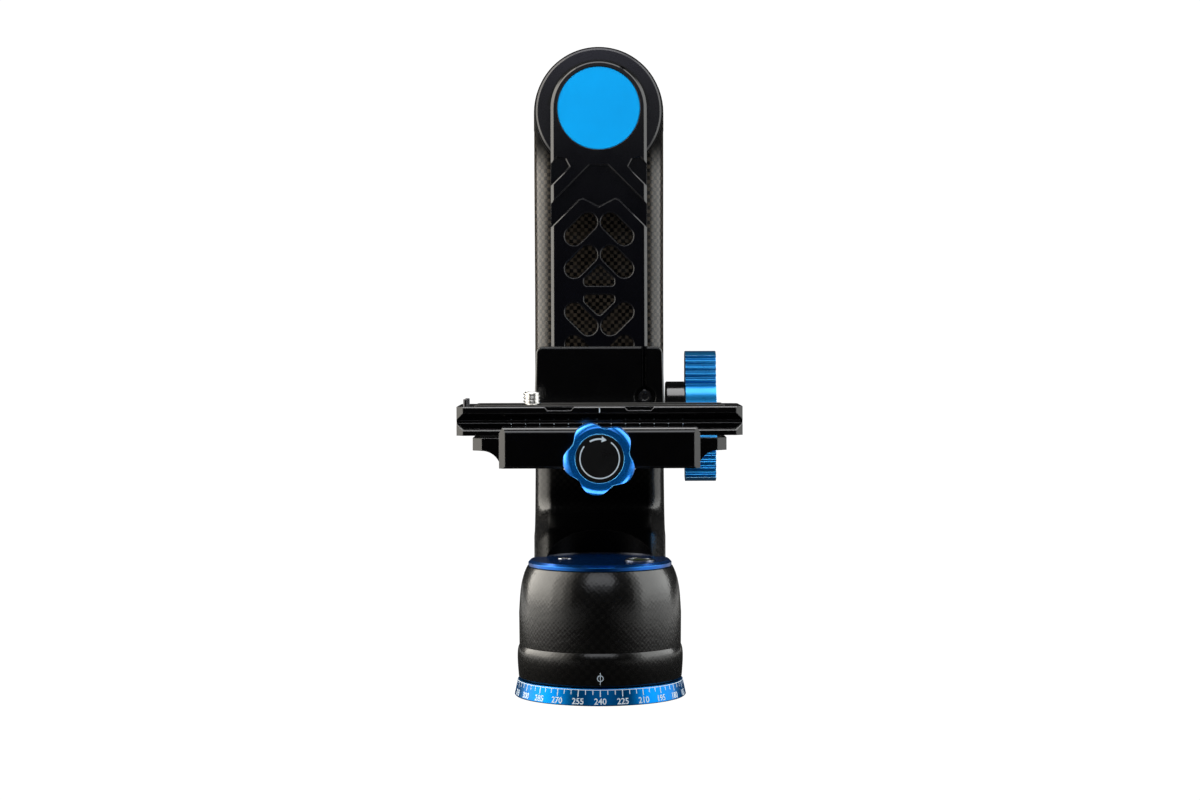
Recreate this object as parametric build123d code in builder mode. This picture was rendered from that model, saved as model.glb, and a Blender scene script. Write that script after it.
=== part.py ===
from build123d import *
import math
import os

os.makedirs("parts", exist_ok=True)

# Gimbal tripod head, millimetres, +Z up.
# Origin: centre of the base's underside, on the pan axis. +Y points from the lens
# platform towards the carbon arm, +X is the side with the height lock knob.

# ---- driving dimensions -------------------------------------------------------
# base and pan bearing
socket_r = 3.97          # 3/8 in - 16 thread, minor wall
socket_depth = 12.0
flange_r = 27.4
flange_h = 4.9
ring_r_bottom = 30.45
ring_r_top = 29.3
ring_h = 5.8
brake_drum_r = 19.0
pan_seat_r = 7.5         # 15 x 28 x 7 ball bearings
pan_outer_r = 14.0
pan_bearing_w = 7.0
pan_low_z = 15.0
pan_high_z = 28.0
pan_pitch_r = 10.75
pan_ball_r = 1.9
# carbon drum
skirt_z0 = 6.1
skirt_z1 = 17.8
drum_top_z = 45.5
drum_wall_r = 25.8
cap_r = 25.5
cap_top_z = 47.9
scoop_r = 21.6
# carbon arm
arm_half_w = 24.6
arm_head_r = 24.6
root_half_w = 23.2       # the arm narrows a little towards the cap
root_end_y = 46.0
arm_wall = 2.8
arm_round = 8.0          # rounding of the arm's front edges
head_joint_z = 205.0     # above this the front rounding is the head's own
arm_front_y = 59.5
arm_back_y = 81.0
head_front_y = 53.0
head_back_y = 72.0
elbow_z = 22.5
# tilt axis
tilt_z = 212.0
hub_front_y = 50.0
hub_r = 24.2
hub_boss_r = 17.0
tilt_outer_r = 12.0      # 12 x 24 x 6 ball bearings
tilt_seat_r = 6.0
tilt_pitch_r = 9.0
tilt_ball_r = 1.6
# swing arm
swing_front_y = 38.0
swing_back_y = 49.0
swing_half_w = 17.9
swing_head_r = 17.9
swing_foot_z = 81.5
badge_r = 15.45
# carriage
block_front_y = 27.0
block_back_y = 52.4
block_top_z = 123.4
block_foot_z = 82.0
lock_y = 43.5            # height lock axis
lock_z = 97.2
# clamp and plate
plate_half_x = 50.0
plate_half_y = 19.0
plate_z0 = 92.65
plate_z1 = 102.7
jaw_half_x = 34.7
jaw_front_y = -31.0
knob_z = 85.8            # clamp screw axis
pan_lock_z = 11.5


def at_y(y):
    """Plane facing -Y at a given Y; sketch x is X and sketch y is Z."""
    return Plane.XZ.offset(-y)


tilt_axis = Axis((0, 0, tilt_z), (0, 1, 0))

# ==== base: fixed on the tripod =================================================

with BuildPart() as base_spindle:
    with BuildSketch(Plane.XZ):
        with BuildLine():
            Polyline(
                (socket_r, 0), (flange_r, 0), (flange_r, flange_h), (brake_drum_r + 1, flange_h),
                (brake_drum_r, flange_h + 0.8), (brake_drum_r, 13.6), (brake_drum_r - 0.6, 14.2),
                (10.0, 14.2), (9.0, pan_low_z), (pan_seat_r, pan_low_z), (pan_seat_r, 35.0),
                (6.0, 35.0), (6.0, 39.4), (5.4, 40.0), (0, 40.0), (0, socket_depth + 2.2),
                (socket_r, socket_depth), close=True,
            )
        make_face()
    revolve(axis=Axis.Z)
base_spindle.part.label = "base_spindle"
export_step(base_spindle.part, "parts/base_spindle.step")

with BuildPart() as scale_ring:
    with BuildSketch(Plane.XZ):
        with BuildLine():
            Polyline(
                (flange_r, 0), (ring_r_bottom - 0.25, 0), (ring_r_bottom, 0.25),
                (ring_r_top, ring_h - 0.25), (ring_r_top - 0.3, ring_h), (flange_r, ring_h),
                close=True,
            )
        make_face()
    revolve(axis=Axis.Z)
    # radial holes for three headless screws, clear of the front reading mark
    for a in (30, 90, 150):
        with BuildSketch(Plane(origin=(0, 0, 2.9), x_dir=(-math.sin(math.radians(a)), math.cos(math.radians(a)), 0),
                               z_dir=(math.cos(math.radians(a)), math.sin(math.radians(a)), 0)).offset(26)):
            Circle(1.25)
        extrude(amount=6, mode=Mode.SUBTRACT)
scale_ring.part.label = "scale_ring"
export_step(scale_ring.part, "parts/scale_ring.step")

with BuildPart() as scale_ring_screws:
    for a in (30, 90, 150):
        screw_plane = Plane(origin=(0, 0, 2.9), x_dir=(-math.sin(math.radians(a)), math.cos(math.radians(a)), 0),
                            z_dir=(math.cos(math.radians(a)), math.sin(math.radians(a)), 0))
        with BuildSketch(screw_plane.offset(27.5)):
            Circle(1.25)
        extrude(amount=1.8)
        with BuildSketch(screw_plane.offset(29.3)):
            RegularPolygon(0.75, 6)
        extrude(amount=-0.9, mode=Mode.SUBTRACT)
scale_ring_screws.part.label = "scale_ring_screws"
export_step(scale_ring_screws.part, "parts/scale_ring_screws.step")

with BuildPart() as pan_bearing_inner_rings:
    for z in (pan_low_z, pan_high_z):
        with BuildSketch(Plane.XY.offset(z)):
            Circle(9.4)
            Circle(pan_seat_r, mode=Mode.SUBTRACT)
        extrude(amount=pan_bearing_w)
        with Locations((0, 0, z + pan_bearing_w / 2)):
            Torus(pan_pitch_r, pan_ball_r, mode=Mode.SUBTRACT)
pan_bearing_inner_rings.part.label = "pan_bearing_inner_rings"
export_step(pan_bearing_inner_rings.part, "parts/pan_bearing_inner_rings.step")

with BuildPart() as pan_bearing_balls:
    with Locations((0, 0, pan_low_z + pan_bearing_w / 2), (0, 0, pan_high_z + pan_bearing_w / 2)):
        with PolarLocations(pan_pitch_r, 12):
            Sphere(pan_ball_r)
pan_bearing_balls.part.label = "pan_bearing_balls"
export_step(pan_bearing_balls.part, "parts/pan_bearing_balls.step")

with BuildPart() as pan_bearing_spacer:
    with BuildSketch(Plane.XY.offset(pan_low_z + pan_bearing_w)):
        Circle(9.2)
        Circle(pan_seat_r, mode=Mode.SUBTRACT)
    extrude(amount=pan_high_z - pan_low_z - pan_bearing_w)
pan_bearing_spacer.part.label = "pan_bearing_spacer"
export_step(pan_bearing_spacer.part, "parts/pan_bearing_spacer.step")

with BuildPart() as pan_retaining_nut:
    with BuildSketch(Plane.XY.offset(35.0)):
        Circle(11.0)
        Circle(6.0, mode=Mode.SUBTRACT)
        with PolarLocations(11.0, 4):
            Rectangle(3.4, 3.0, mode=Mode.SUBTRACT)
    extrude(amount=4.0)
    chamfer(pan_retaining_nut.edges().filter_by(GeomType.CIRCLE).filter_by(lambda e: e.radius > 10).group_by(Axis.Z)[-1], 0.4)
pan_retaining_nut.part.label = "pan_retaining_nut"
export_step(pan_retaining_nut.part, "parts/pan_retaining_nut.step")

# ==== frame: drum, arm and head, turning on the pan bearings ====================

with BuildPart() as drum_core:
    with BuildSketch(Plane.XZ):
        with BuildLine():
            Polyline(
                (pan_outer_r, 14.8), (drum_wall_r, 14.8), (drum_wall_r, 21.5), (17.0, 24.5),
                (17.0, 36.5), (pan_outer_r, 36.5), (pan_outer_r, pan_high_z), (12.6, pan_high_z),
                (12.6, pan_low_z + pan_bearing_w), (pan_outer_r, pan_low_z + pan_bearing_w), close=True,
            )
        make_face()
    revolve(axis=Axis.Z)
drum_core.part.label = "drum_core"
export_step(drum_core.part, "parts/drum_core.step")

with BuildPart() as pan_bearing_outer_rings:
    for z in (pan_low_z, pan_high_z):
        with BuildSketch(Plane.XY.offset(z)):
            Circle(pan_outer_r)
            Circle(12.1, mode=Mode.SUBTRACT)
        extrude(amount=pan_bearing_w)
        with Locations((0, 0, z + pan_bearing_w / 2)):
            Torus(pan_pitch_r, pan_ball_r + 0.2, mode=Mode.SUBTRACT)
pan_bearing_outer_rings.part.label = "pan_bearing_outer_rings"
export_step(pan_bearing_outer_rings.part, "parts/pan_bearing_outer_rings.step")

with BuildPart() as drum_skirt:
    with BuildSketch(Plane.XZ):
        with BuildLine():
            Polyline((28.75, skirt_z1), (drum_wall_r, skirt_z1), (drum_wall_r, skirt_z0), (28.5, skirt_z0), (29.0, 6.7))
            Spline((29.0, 6.7), (29.3, 10.5), (29.42, 13.6), (29.36, 15.4), (29.16, 16.7), (28.75, skirt_z1))
        make_face()
    revolve(axis=Axis.Z)
    with BuildSketch(at_y(20)):
        with Locations((0, pan_lock_z)):
            Circle(4.6)
    extrude(amount=-15, mode=Mode.SUBTRACT)
drum_skirt.part.label = "drum_skirt"
export_step(drum_skirt.part, "parts/drum_skirt.step")

arm_profile = [
    (8.5, elbow_z), (62.0, elbow_z), (arm_back_y, 45.0), (arm_back_y, 150.0),
    (head_back_y, 186.0), (head_back_y, tilt_z + 30), (head_front_y, tilt_z + 30),
    (head_front_y, 190.0), (arm_front_y, 143.0), (arm_front_y, 78.0), (52.5, 61.0),
    (22.0, 57.0), (8.5, 48.2),
]
arm_radii = {1: 18, 2: 24, 3: 80, 4: 80, 7: 70, 8: 70, 9: 20, 10: 10, 11: 14}

def side_x(y):
    """Half width of the arm block at a given Y."""
    return arm_half_w - (arm_half_w - root_half_w) * max(0.0, (root_end_y - y) / (root_end_y - 8.4))


def rim_edges(part, front, inset=0.0):
    """Long outline edges of the arm block: the front (lens side) or the back chain."""
    found = []
    for e in part.edges():
        m, b = e @ 0.5, e.bounding_box()
        on_side = abs(abs(m.X) + inset - side_x(m.Y)) < 0.02 and b.size.X < 0.9
        on_head = (m.Z > tilt_z + 0.5 and abs(math.hypot(m.X, m.Z - tilt_z) + inset - arm_head_r) < 0.05
                   and b.size.Y < 0.5)
        if not (on_side or on_head) or b.max.Y < 9:
            continue
        if on_side and b.size.Z < 0.01 and min(abs(m.Z - tilt_z), abs(m.Z - head_joint_z)) < 1:
            continue
        is_front = (on_head and m.Y < 60) or (on_side and m.Z > 48.1 and (m.Y < 61 + inset if m.Z > 60 else True)
                                              and not (m.Z < 56 and m.Y > 60))
        if is_front == front:
            found.append(e)
    return found


with BuildPart() as arm_hollow:
    with BuildSketch(Plane.YZ):
        with BuildLine():
            Polyline(*arm_profile, close=True)
        make_face()
        for i, r in arm_radii.items():
            fillet(vertices().sort_by(lambda v: (v.X - arm_profile[i][0]) ** 2 + (v.Y - arm_profile[i][1]) ** 2)[0], r)
        offset(amount=-arm_wall, mode=Mode.REPLACE)
    extrude(amount=arm_half_w - arm_wall, both=True)
    with BuildSketch(Plane.XZ):
        with Locations((0, tilt_z)):
            Circle(arm_head_r - arm_wall)
        with Locations((0, tilt_z / 2)):
            Rectangle(2 * (arm_half_w - arm_wall), tilt_z)
    extrude(amount=-120, mode=Mode.INTERSECT)
    with BuildSketch(Plane.XY):
        with BuildLine():
            Polyline(*[(sx * (w - arm_wall), y) for sx, w, y in (
                (-1, root_half_w, 5), (-1, root_half_w, 8.4), (-1, arm_half_w, root_end_y), (-1, arm_half_w, 90),
                (1, arm_half_w, 90), (1, arm_half_w, root_end_y), (1, root_half_w, 8.4), (1, root_half_w, 5))], close=True)
        make_face()
    extrude(amount=250, mode=Mode.INTERSECT)
    fillet(rim_edges(arm_hollow.part, True, arm_wall), arm_round - arm_wall)
    # the wall round the cap's recess stays
    with BuildSketch(Plane.XY.offset(43.0)):
        Circle(scoop_r + arm_wall)
    extrude(amount=40, mode=Mode.SUBTRACT)
    with BuildSketch(Plane.XZ):
        with BuildLine():
            Polyline((0, skirt_z1), (drum_wall_r, skirt_z1), (drum_wall_r, 34.0), (24.6, 41.0),
                     (22.5, 43.3), (0, 43.3), close=True)
        make_face()
    revolve(axis=Axis.Z)


with BuildPart() as arm_blank:
    with BuildSketch(Plane.YZ):
        with BuildLine():
            Polyline(*arm_profile, close=True)
        make_face()
        for i, r in arm_radii.items():
            fillet(vertices().sort_by(lambda v: (v.X - arm_profile[i][0]) ** 2 + (v.Y - arm_profile[i][1]) ** 2)[0], r)
    extrude(amount=arm_half_w, both=True)
    with BuildSketch(Plane.XZ):
        with Locations((0, tilt_z)):
            Circle(arm_head_r)
        with Locations((0, tilt_z / 2)):
            Rectangle(2 * arm_half_w, tilt_z)
    extrude(amount=-120, mode=Mode.INTERSECT)
    with BuildSketch(Plane.XY):
        with BuildLine():
            Polyline((-root_half_w, 5), (-root_half_w, 8.4), (-arm_half_w, root_end_y), (-arm_half_w, 90),
                     (arm_half_w, 90), (arm_half_w, root_end_y), (root_half_w, 8.4), (root_half_w, 5), close=True)
        make_face()
    extrude(amount=250, mode=Mode.INTERSECT)
    fillet(rim_edges(arm_blank.part, False), 7)

# the head keeps a fuller rim than the arm below it
with BuildPart() as arm_head:
    add(arm_blank.part)
    with BuildSketch(Plane.XY.offset(head_joint_z)):
        with Locations((0, 50)):
            Rectangle(80, 100)
    extrude(amount=60, mode=Mode.INTERSECT)
    fillet(rim_edges(arm_head.part, True), 4.5)

with BuildPart() as carbon_frame:
    add(arm_blank.part)
    with BuildSketch(Plane.XY.offset(head_joint_z)):
        with Locations((0, 50)):
            Rectangle(80, 100)
    extrude(amount=60, mode=Mode.SUBTRACT)
    fillet(rim_edges(carbon_frame.part, True), arm_round)
    add(arm_head.part)
    # drum shell
    with BuildSketch(Plane.XZ):
        with BuildLine():
            Polyline((28.85, 29.0), (28.75, skirt_z1), (0, skirt_z1), (0, drum_top_z), (25.9, drum_top_z))
            Spline((25.9, drum_top_z), (26.75, 43.7), (27.6, 41.0), (28.3, 37.0), (28.85, 29.0))
        make_face()
    revolve(axis=Axis.Z)
    # recess for the cap, and the round scoop that the arm's root leaves over it
    with BuildSketch(Plane.XY.offset(drum_top_z)):
        Circle(scoop_r)
    extrude(amount=25, mode=Mode.SUBTRACT)
    add(arm_hollow.part, mode=Mode.SUBTRACT)
    # tapped holes for the cap's screws
    with BuildSketch(Plane.XY.offset(43.0)):
        with Locations((-12.6, 2.0), (12.6, 2.0)):
            Circle(1.3)
    extrude(amount=4, mode=Mode.SUBTRACT)
    # head bore for the tilt hub
    with BuildSketch(at_y(50)):
        with Locations((0, tilt_z)):
            Circle(hub_boss_r)
    extrude(amount=-25, mode=Mode.SUBTRACT)
carbon_frame.part.label = "carbon_frame"
export_step(carbon_frame.part, "parts/carbon_frame.step")
print("carbon_frame", carbon_frame.part.is_valid, len(carbon_frame.part.solids()), carbon_frame.part.volume)

with BuildPart() as drum_cap:
    with BuildSketch(Plane.XZ):
        with BuildLine():
            Polyline((0, drum_top_z), (cap_r - 0.35, drum_top_z), (cap_r, 45.85), (cap_r, 47.0),
                     (cap_r - 0.9, cap_top_z), (0, cap_top_z), close=True)
        make_face()
    revolve(axis=Axis.Z)
    # behind the arm's cheeks only the recessed disc stays
    with BuildSketch(Plane.XY.offset(45.0)):
        with Locations((0, 8.4 + 15)):
            Rectangle(60, 30)
        Circle(scoop_r - 0.02, mode=Mode.SUBTRACT)
    extrude(amount=4, mode=Mode.SUBTRACT)
    # countersunk screws and the round pocket for the spirit level
    with BuildSketch(Plane.XY.offset(45.0)):
        with Locations((-12.6, 2.0), (12.6, 2.0)):
            Circle(1.3)
    extrude(amount=4, mode=Mode.SUBTRACT)
    with BuildSketch(Plane.XY.offset(cap_top_z - 0.9)):
        with Locations((-12.6, 2.0), (12.6, 2.0)):
            Circle(2.5)
    extrude(amount=3, mode=Mode.SUBTRACT)
    with BuildSketch(Plane.XY.offset(cap_top_z - 1.2)):
        with Locations((14.1, -8.4)):
            Circle(4.6)
    extrude(amount=3, mode=Mode.SUBTRACT)
drum_cap.part.label = "drum_cap"
export_step(drum_cap.part, "parts/drum_cap.step")

with BuildPart() as cap_screws:
    with BuildSketch(Plane.XY.offset(cap_top_z - 0.9)):
        with Locations((-12.6, 2.0), (12.6, 2.0)):
            Circle(2.45)
    extrude(amount=1.05)
    with BuildSketch(Plane.XY.offset(42.0)):
        with Locations((-12.6, 2.0), (12.6, 2.0)):
            Circle(1.3)
    extrude(amount=5.1)
    with BuildSketch(Plane.XY.offset(cap_top_z + 0.15)):
        with Locations((-12.6, 2.0), (12.6, 2.0)):
            RegularPolygon(1.1, 6)
    extrude(amount=-0.7, mode=Mode.SUBTRACT)
cap_screws.part.label = "cap_screws"
export_step(cap_screws.part, "parts/cap_screws.step")

with BuildPart() as level_ring:
    with BuildSketch(Plane.XY.offset(cap_top_z - 1.2)):
        with Locations((14.1, -8.4)):
            Circle(4.6)
            Circle(3.7, mode=Mode.SUBTRACT)
    extrude(amount=1.2)
    with BuildSketch(Plane.XY.offset(cap_top_z)):
        with Locations((14.1, -8.4)):
            Circle(5.2)
            Circle(3.7, mode=Mode.SUBTRACT)
    extrude(amount=0.7)
    chamfer(level_ring.edges().filter_by(GeomType.CIRCLE).filter_by(lambda e: e.radius > 5).group_by(Axis.Z)[-1], 0.35)
level_ring.part.label = "level_ring"
export_step(level_ring.part, "parts/level_ring.step")

with BuildPart() as level_vial:
    with BuildSketch(Plane(origin=(14.1, -8.4, 0), x_dir=(1, 0, 0), z_dir=(0, -1, 0))):
        with BuildLine():
            Polyline((3.7, cap_top_z + 0.45), (3.7, cap_top_z - 1.2), (0, cap_top_z - 1.2), (0, cap_top_z + 0.75))
            ThreePointArc((0, cap_top_z + 0.75), (1.9, cap_top_z + 0.67), (3.7, cap_top_z + 0.45))
        make_face()
    revolve(axis=Axis((14.1, -8.4, 0), (0, 0, 1)))
level_vial.part.label = "level_vial"
export_step(level_vial.part, "parts/level_vial.step")

# ---- pan lock, under the elbow of the arm -------------------------------------

with BuildPart() as pan_lock_bush:
    with BuildSketch(Plane.YZ):
        with BuildLine():
            Polyline((26.0, pan_lock_z + 3.05), (33.0, pan_lock_z + 3.05), (33.0, pan_lock_z + 6.0),
                     (29.6, pan_lock_z + 6.0), (29.6, pan_lock_z + 4.6), (26.0, pan_lock_z + 4.6), close=True)
        make_face()
    revolve(axis=Axis((0, 0, pan_lock_z), (0, 1, 0)))
pan_lock_bush.part.label = "pan_lock_bush"
export_step(pan_lock_bush.part, "parts/pan_lock_bush.step")

with BuildPart() as pan_brake_shoe:
    with BuildSketch(Plane.XY.offset(7.0)):
        with Locations((0, 21.0)):
            Rectangle(15, 7)
        Circle(brake_drum_r + 0.45, mode=Mode.SUBTRACT)
    extrude(amount=6.4)
pan_brake_shoe.part.label = "pan_brake_shoe"
export_step(pan_brake_shoe.part, "parts/pan_brake_shoe.step")

with BuildPart() as pan_lock_stud:
    with BuildSketch(at_y(24.75)):
        with Locations((0, pan_lock_z)):
            Circle(3.0)
    extrude(amount=-17.25)
    chamfer(pan_lock_stud.edges().sort_by(Axis.Y)[0], 0.5)
pan_lock_stud.part.label = "pan_lock_stud"
export_step(pan_lock_stud.part, "parts/pan_lock_stud.step")


def lobe_points(radius, dip, lobes, start, crown=1.0):
    """Closed outline of a lobed knob, as polar points; a crown above 1 broadens the lobes."""
    points = []
    for i in range(lobes * 12):
        a = 2 * math.pi * i / (lobes * 12)
        r = radius - dip * (0.5 - 0.5 * math.cos(lobes * (a - start))) ** crown
        points.append((r * math.cos(a), r * math.sin(a)))
    return points


with BuildPart() as pan_knob:
    with BuildSketch(Plane.XZ.offset(-36.0)):
        with Locations((0, pan_lock_z)):
            with BuildLine():
                Spline(*[(x, z + pan_lock_z) for x, z in lobe_points(9.8, 1.7, 5, math.radians(90))], periodic=True)
            make_face()
    extrude(amount=-10.0)
    fillet(pan_knob.edges().filter_by(lambda e: e.bounding_box().size.Y < 0.01), 1.2)
    with BuildSketch(at_y(33.4)):
        with Locations((0, pan_lock_z)):
            Circle(6.0)
    extrude(amount=-2.8)
    with BuildSketch(at_y(33.0)):
        with Locations((0, pan_lock_z)):
            Circle(3.0)
    extrude(amount=-9.0, mode=Mode.SUBTRACT)
pan_knob.part.label = "pan_knob"
export_step(pan_knob.part, "parts/pan_knob.step")

# ---- tilt hub ------------------------------------------------------------------

with BuildPart() as tilt_hub:
    with BuildSketch(Plane.YZ):
        with BuildLine():
            Polyline(*[(y, tilt_z + r) for y, r in (
                (hub_front_y, 11.6), (hub_front_y, hub_r - 1.2), (hub_front_y + 1.1, hub_r), (head_front_y, hub_r),
                (head_front_y, hub_boss_r), (head_back_y, hub_boss_r), (head_back_y, tilt_outer_r), (61.5, tilt_outer_r),
                (61.5, 10.8), (60.0, 10.8), (60.0, tilt_outer_r), (54.0, tilt_outer_r), (54.0, 11.6))], close=True)
        make_face()
    revolve(axis=tilt_axis)
    with BuildSketch(at_y(head_back_y)):
        with Locations((0, tilt_z)):
            with PolarLocations(14.5, 4, start_angle=45):
                Circle(1.25)
    extrude(amount=8, mode=Mode.SUBTRACT)
tilt_hub.part.label = "tilt_hub"
export_step(tilt_hub.part, "parts/tilt_hub.step")

with BuildPart() as tilt_bearing_outer_rings:
    for y in (54.0, 61.5):
        with BuildSketch(at_y(y)):
            with Locations((0, tilt_z)):
                Circle(tilt_outer_r)
                Circle(10.2, mode=Mode.SUBTRACT)
        extrude(amount=-6.0)
        with Locations(Location((0, y + 3.0, tilt_z), (90, 0, 0))):
            Torus(tilt_pitch_r, tilt_ball_r + 0.2, mode=Mode.SUBTRACT)
tilt_bearing_outer_rings.part.label = "tilt_bearing_outer_rings"
export_step(tilt_bearing_outer_rings.part, "parts/tilt_bearing_outer_rings.step")

with BuildPart() as hub_rear_cover:
    with BuildSketch(Plane.YZ):
        with BuildLine():
            Polyline(*[(y, tilt_z + r) for y, r in (
                (head_back_y, 9.3), (head_back_y, 18.5), (74.4, 18.5), (75.4, 17.5), (75.4, 8.6), (76.0, 8.0),
                (79.0, 8.0), (79.4, 7.6), (79.4, 3.05), (73.7, 3.05), (73.7, 9.3))], close=True)
        make_face()
    revolve(axis=tilt_axis)
    with BuildSketch(at_y(70)):
        with Locations((0, tilt_z)):
            with PolarLocations(14.5, 4, start_angle=45):
                Circle(1.55)
    extrude(amount=-8, mode=Mode.SUBTRACT)
hub_rear_cover.part.label = "hub_rear_cover"
export_step(hub_rear_cover.part, "parts/hub_rear_cover.step")

with BuildPart() as rear_cover_screws:
    with BuildSketch(at_y(65.0)):
        with Locations((0, tilt_z)):
            with PolarLocations(14.5, 4, start_angle=45):
                Circle(1.25)
    extrude(amount=-10.4)
    with BuildSketch(at_y(75.4)):
        with Locations((0, tilt_z)):
            with PolarLocations(14.5, 4, start_angle=45):
                Circle(2.7)
    extrude(amount=-1.5)
    with BuildSketch(at_y(76.9)):
        with Locations((0, tilt_z)):
            with PolarLocations(14.5, 4, start_angle=45):
                RegularPolygon(1.2, 6)
    extrude(amount=1.0, mode=Mode.SUBTRACT)
rear_cover_screws.part.label = "rear_cover_screws"
export_step(rear_cover_screws.part, "parts/rear_cover_screws.step")

# ---- tilt lock -----------------------------------------------------------------

with BuildPart() as tilt_brake_pad:
    with BuildSketch(at_y(71.3)):
        with Locations((0, tilt_z)):
            Circle(9.0)
    extrude(amount=-2.0)
tilt_brake_pad.part.label = "tilt_brake_pad"
export_step(tilt_brake_pad.part, "parts/tilt_brake_pad.step")

with BuildPart() as tilt_lock_stud:
    with BuildSketch(at_y(73.45)):
        with Locations((0, tilt_z)):
            Circle(3.0)
    extrude(amount=-15.5)
tilt_lock_stud.part.label = "tilt_lock_stud"
export_step(tilt_lock_stud.part, "parts/tilt_lock_stud.step")

with BuildPart() as tilt_knob_collar:
    with BuildSketch(at_y(79.7)):
        with Locations((0, tilt_z)):
            Circle(8.6)
            Circle(3.0, mode=Mode.SUBTRACT)
    extrude(amount=-3.2)
tilt_knob_collar.part.label = "tilt_knob_collar"
export_step(tilt_knob_collar.part, "parts/tilt_knob_collar.step")

wing_tip = 24.3          # winged knobs, from the axis to the wing's tip
wing_hub_r = 13.8
wing_len = 11.4


def wing_edge(side):
    """Ridged flank of the upper wing, from the hub to the tip."""
    points = []
    for i in range(25):
        v = 10.6 + 0.5 * i
        points.append((side * (7.4 - 0.07 * (v - 11) + 0.42 * math.cos(2 * math.pi * (v - 13.4) / 2.35)), v))
    return points


with BuildPart() as tilt_knob:
    with BuildSketch(at_y(82.9)):
        with Locations((0, tilt_z)):
            Circle(wing_hub_r)
        for turn in (90, -90):
            with BuildSketch(Plane.XY, mode=Mode.PRIVATE) as wing:
                with BuildLine():
                    right = Spline(*wing_edge(1))
                    left = Spline(*wing_edge(-1))
                    Line((0, 0), right @ 0)
                    Line((0, 0), left @ 0)
                    tip = ThreePointArc(right @ 1, (0, wing_tip), left @ 1)
                make_face()
            with Locations(Location((0, tilt_z), turn)):
                add(wing.sketch)
    extrude(amount=-wing_len)
    with BuildSketch(at_y(82.5)):
        with Locations((0, tilt_z)):
            Circle(3.0)
    extrude(amount=-6.5, mode=Mode.SUBTRACT)
    print("tilt knob", tilt_knob.part.is_valid, tilt_knob.part.bounding_box())
tilt_knob.part.label = "tilt_knob"
export_step(tilt_knob.part, "parts/tilt_knob.step")

# ==== swing arm assembly, turning on the tilt bearings ==========================

with BuildPart() as tilt_spindle:
    with BuildSketch(Plane.YZ):
        with BuildLine():
            Polyline(*[(y, tilt_z + r) for y, r in (
                (44.0, 3.0), (44.0, 7.9), (swing_back_y, 7.9), (swing_back_y, 11.0), (53.2, 11.0), (53.2, 7.4),
                (54.0, 7.4), (54.0, tilt_seat_r), (67.5, tilt_seat_r), (67.5, 5.0), (70.5, 5.0), (70.8, 4.7),
                (70.8, 0), (62.0, 0), (62.0, 3.0))], close=True)
        make_face()
    revolve(axis=tilt_axis)
tilt_spindle.part.label = "tilt_spindle"
export_step(tilt_spindle.part, "parts/tilt_spindle.step")

with BuildPart() as tilt_bearing_inner_rings:
    for y in (54.0, 61.5):
        with BuildSketch(at_y(y)):
            with Locations((0, tilt_z)):
                Circle(7.8)
                Circle(tilt_seat_r, mode=Mode.SUBTRACT)
        extrude(amount=-6.0)
        with Locations(Location((0, y + 3.0, tilt_z), (90, 0, 0))):
            Torus(tilt_pitch_r, tilt_ball_r, mode=Mode.SUBTRACT)
tilt_bearing_inner_rings.part.label = "tilt_bearing_inner_rings"
export_step(tilt_bearing_inner_rings.part, "parts/tilt_bearing_inner_rings.step")

with BuildPart() as tilt_bearing_balls:
    with Locations(Location((0, 57.0, tilt_z), (90, 0, 0)), Location((0, 64.5, tilt_z), (90, 0, 0))):
        with PolarLocations(tilt_pitch_r, 12):
            Sphere(tilt_ball_r)
tilt_bearing_balls.part.label = "tilt_bearing_balls"
export_step(tilt_bearing_balls.part, "parts/tilt_bearing_balls.step")

with BuildPart() as tilt_spacer:
    with BuildSketch(at_y(60.0)):
        with Locations((0, tilt_z)):
            Circle(7.6)
            Circle(tilt_seat_r, mode=Mode.SUBTRACT)
    extrude(amount=-1.5)
tilt_spacer.part.label = "tilt_spacer"
export_step(tilt_spacer.part, "parts/tilt_spacer.step")

with BuildPart() as tilt_spindle_nut:
    with BuildSketch(at_y(67.5)):
        with Locations((0, tilt_z)):
            RegularPolygon(8.6, 6)
            Circle(5.0, mode=Mode.SUBTRACT)
    extrude(amount=-2.7)
tilt_spindle_nut.part.label = "tilt_spindle_nut"
export_step(tilt_spindle_nut.part, "parts/tilt_spindle_nut.step")

slot_w = 6.8
slot_len = 14.2
slots = [(-6.7, -45.05, 45), (6.7, -45.05, -45), (-6.7, -57.15, 45), (6.7, -57.15, -45),
         (-6.7, -78.5, -45), (6.7, -78.5, 45), (-6.7, -90.6, -45), (6.7, -90.6, 45)]
ear = [(18.4, -21.2), (18.4, -29.5), (13.2, -24.3), (11.0, -21.6), (12.4, -18.9), (15.4, -18.3)]
band = [(18.4, -36.2), (3.5, -21.2), (-3.5, -21.2), (-18.4, -36.2), (-18.4, -45.0), (-7.4, -34.0), (-6.0, -33.5),
        (0, -36.6), (6.0, -33.5), (7.4, -34.0), (18.4, -45.0)]
mirror_dz = -67.8

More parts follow.
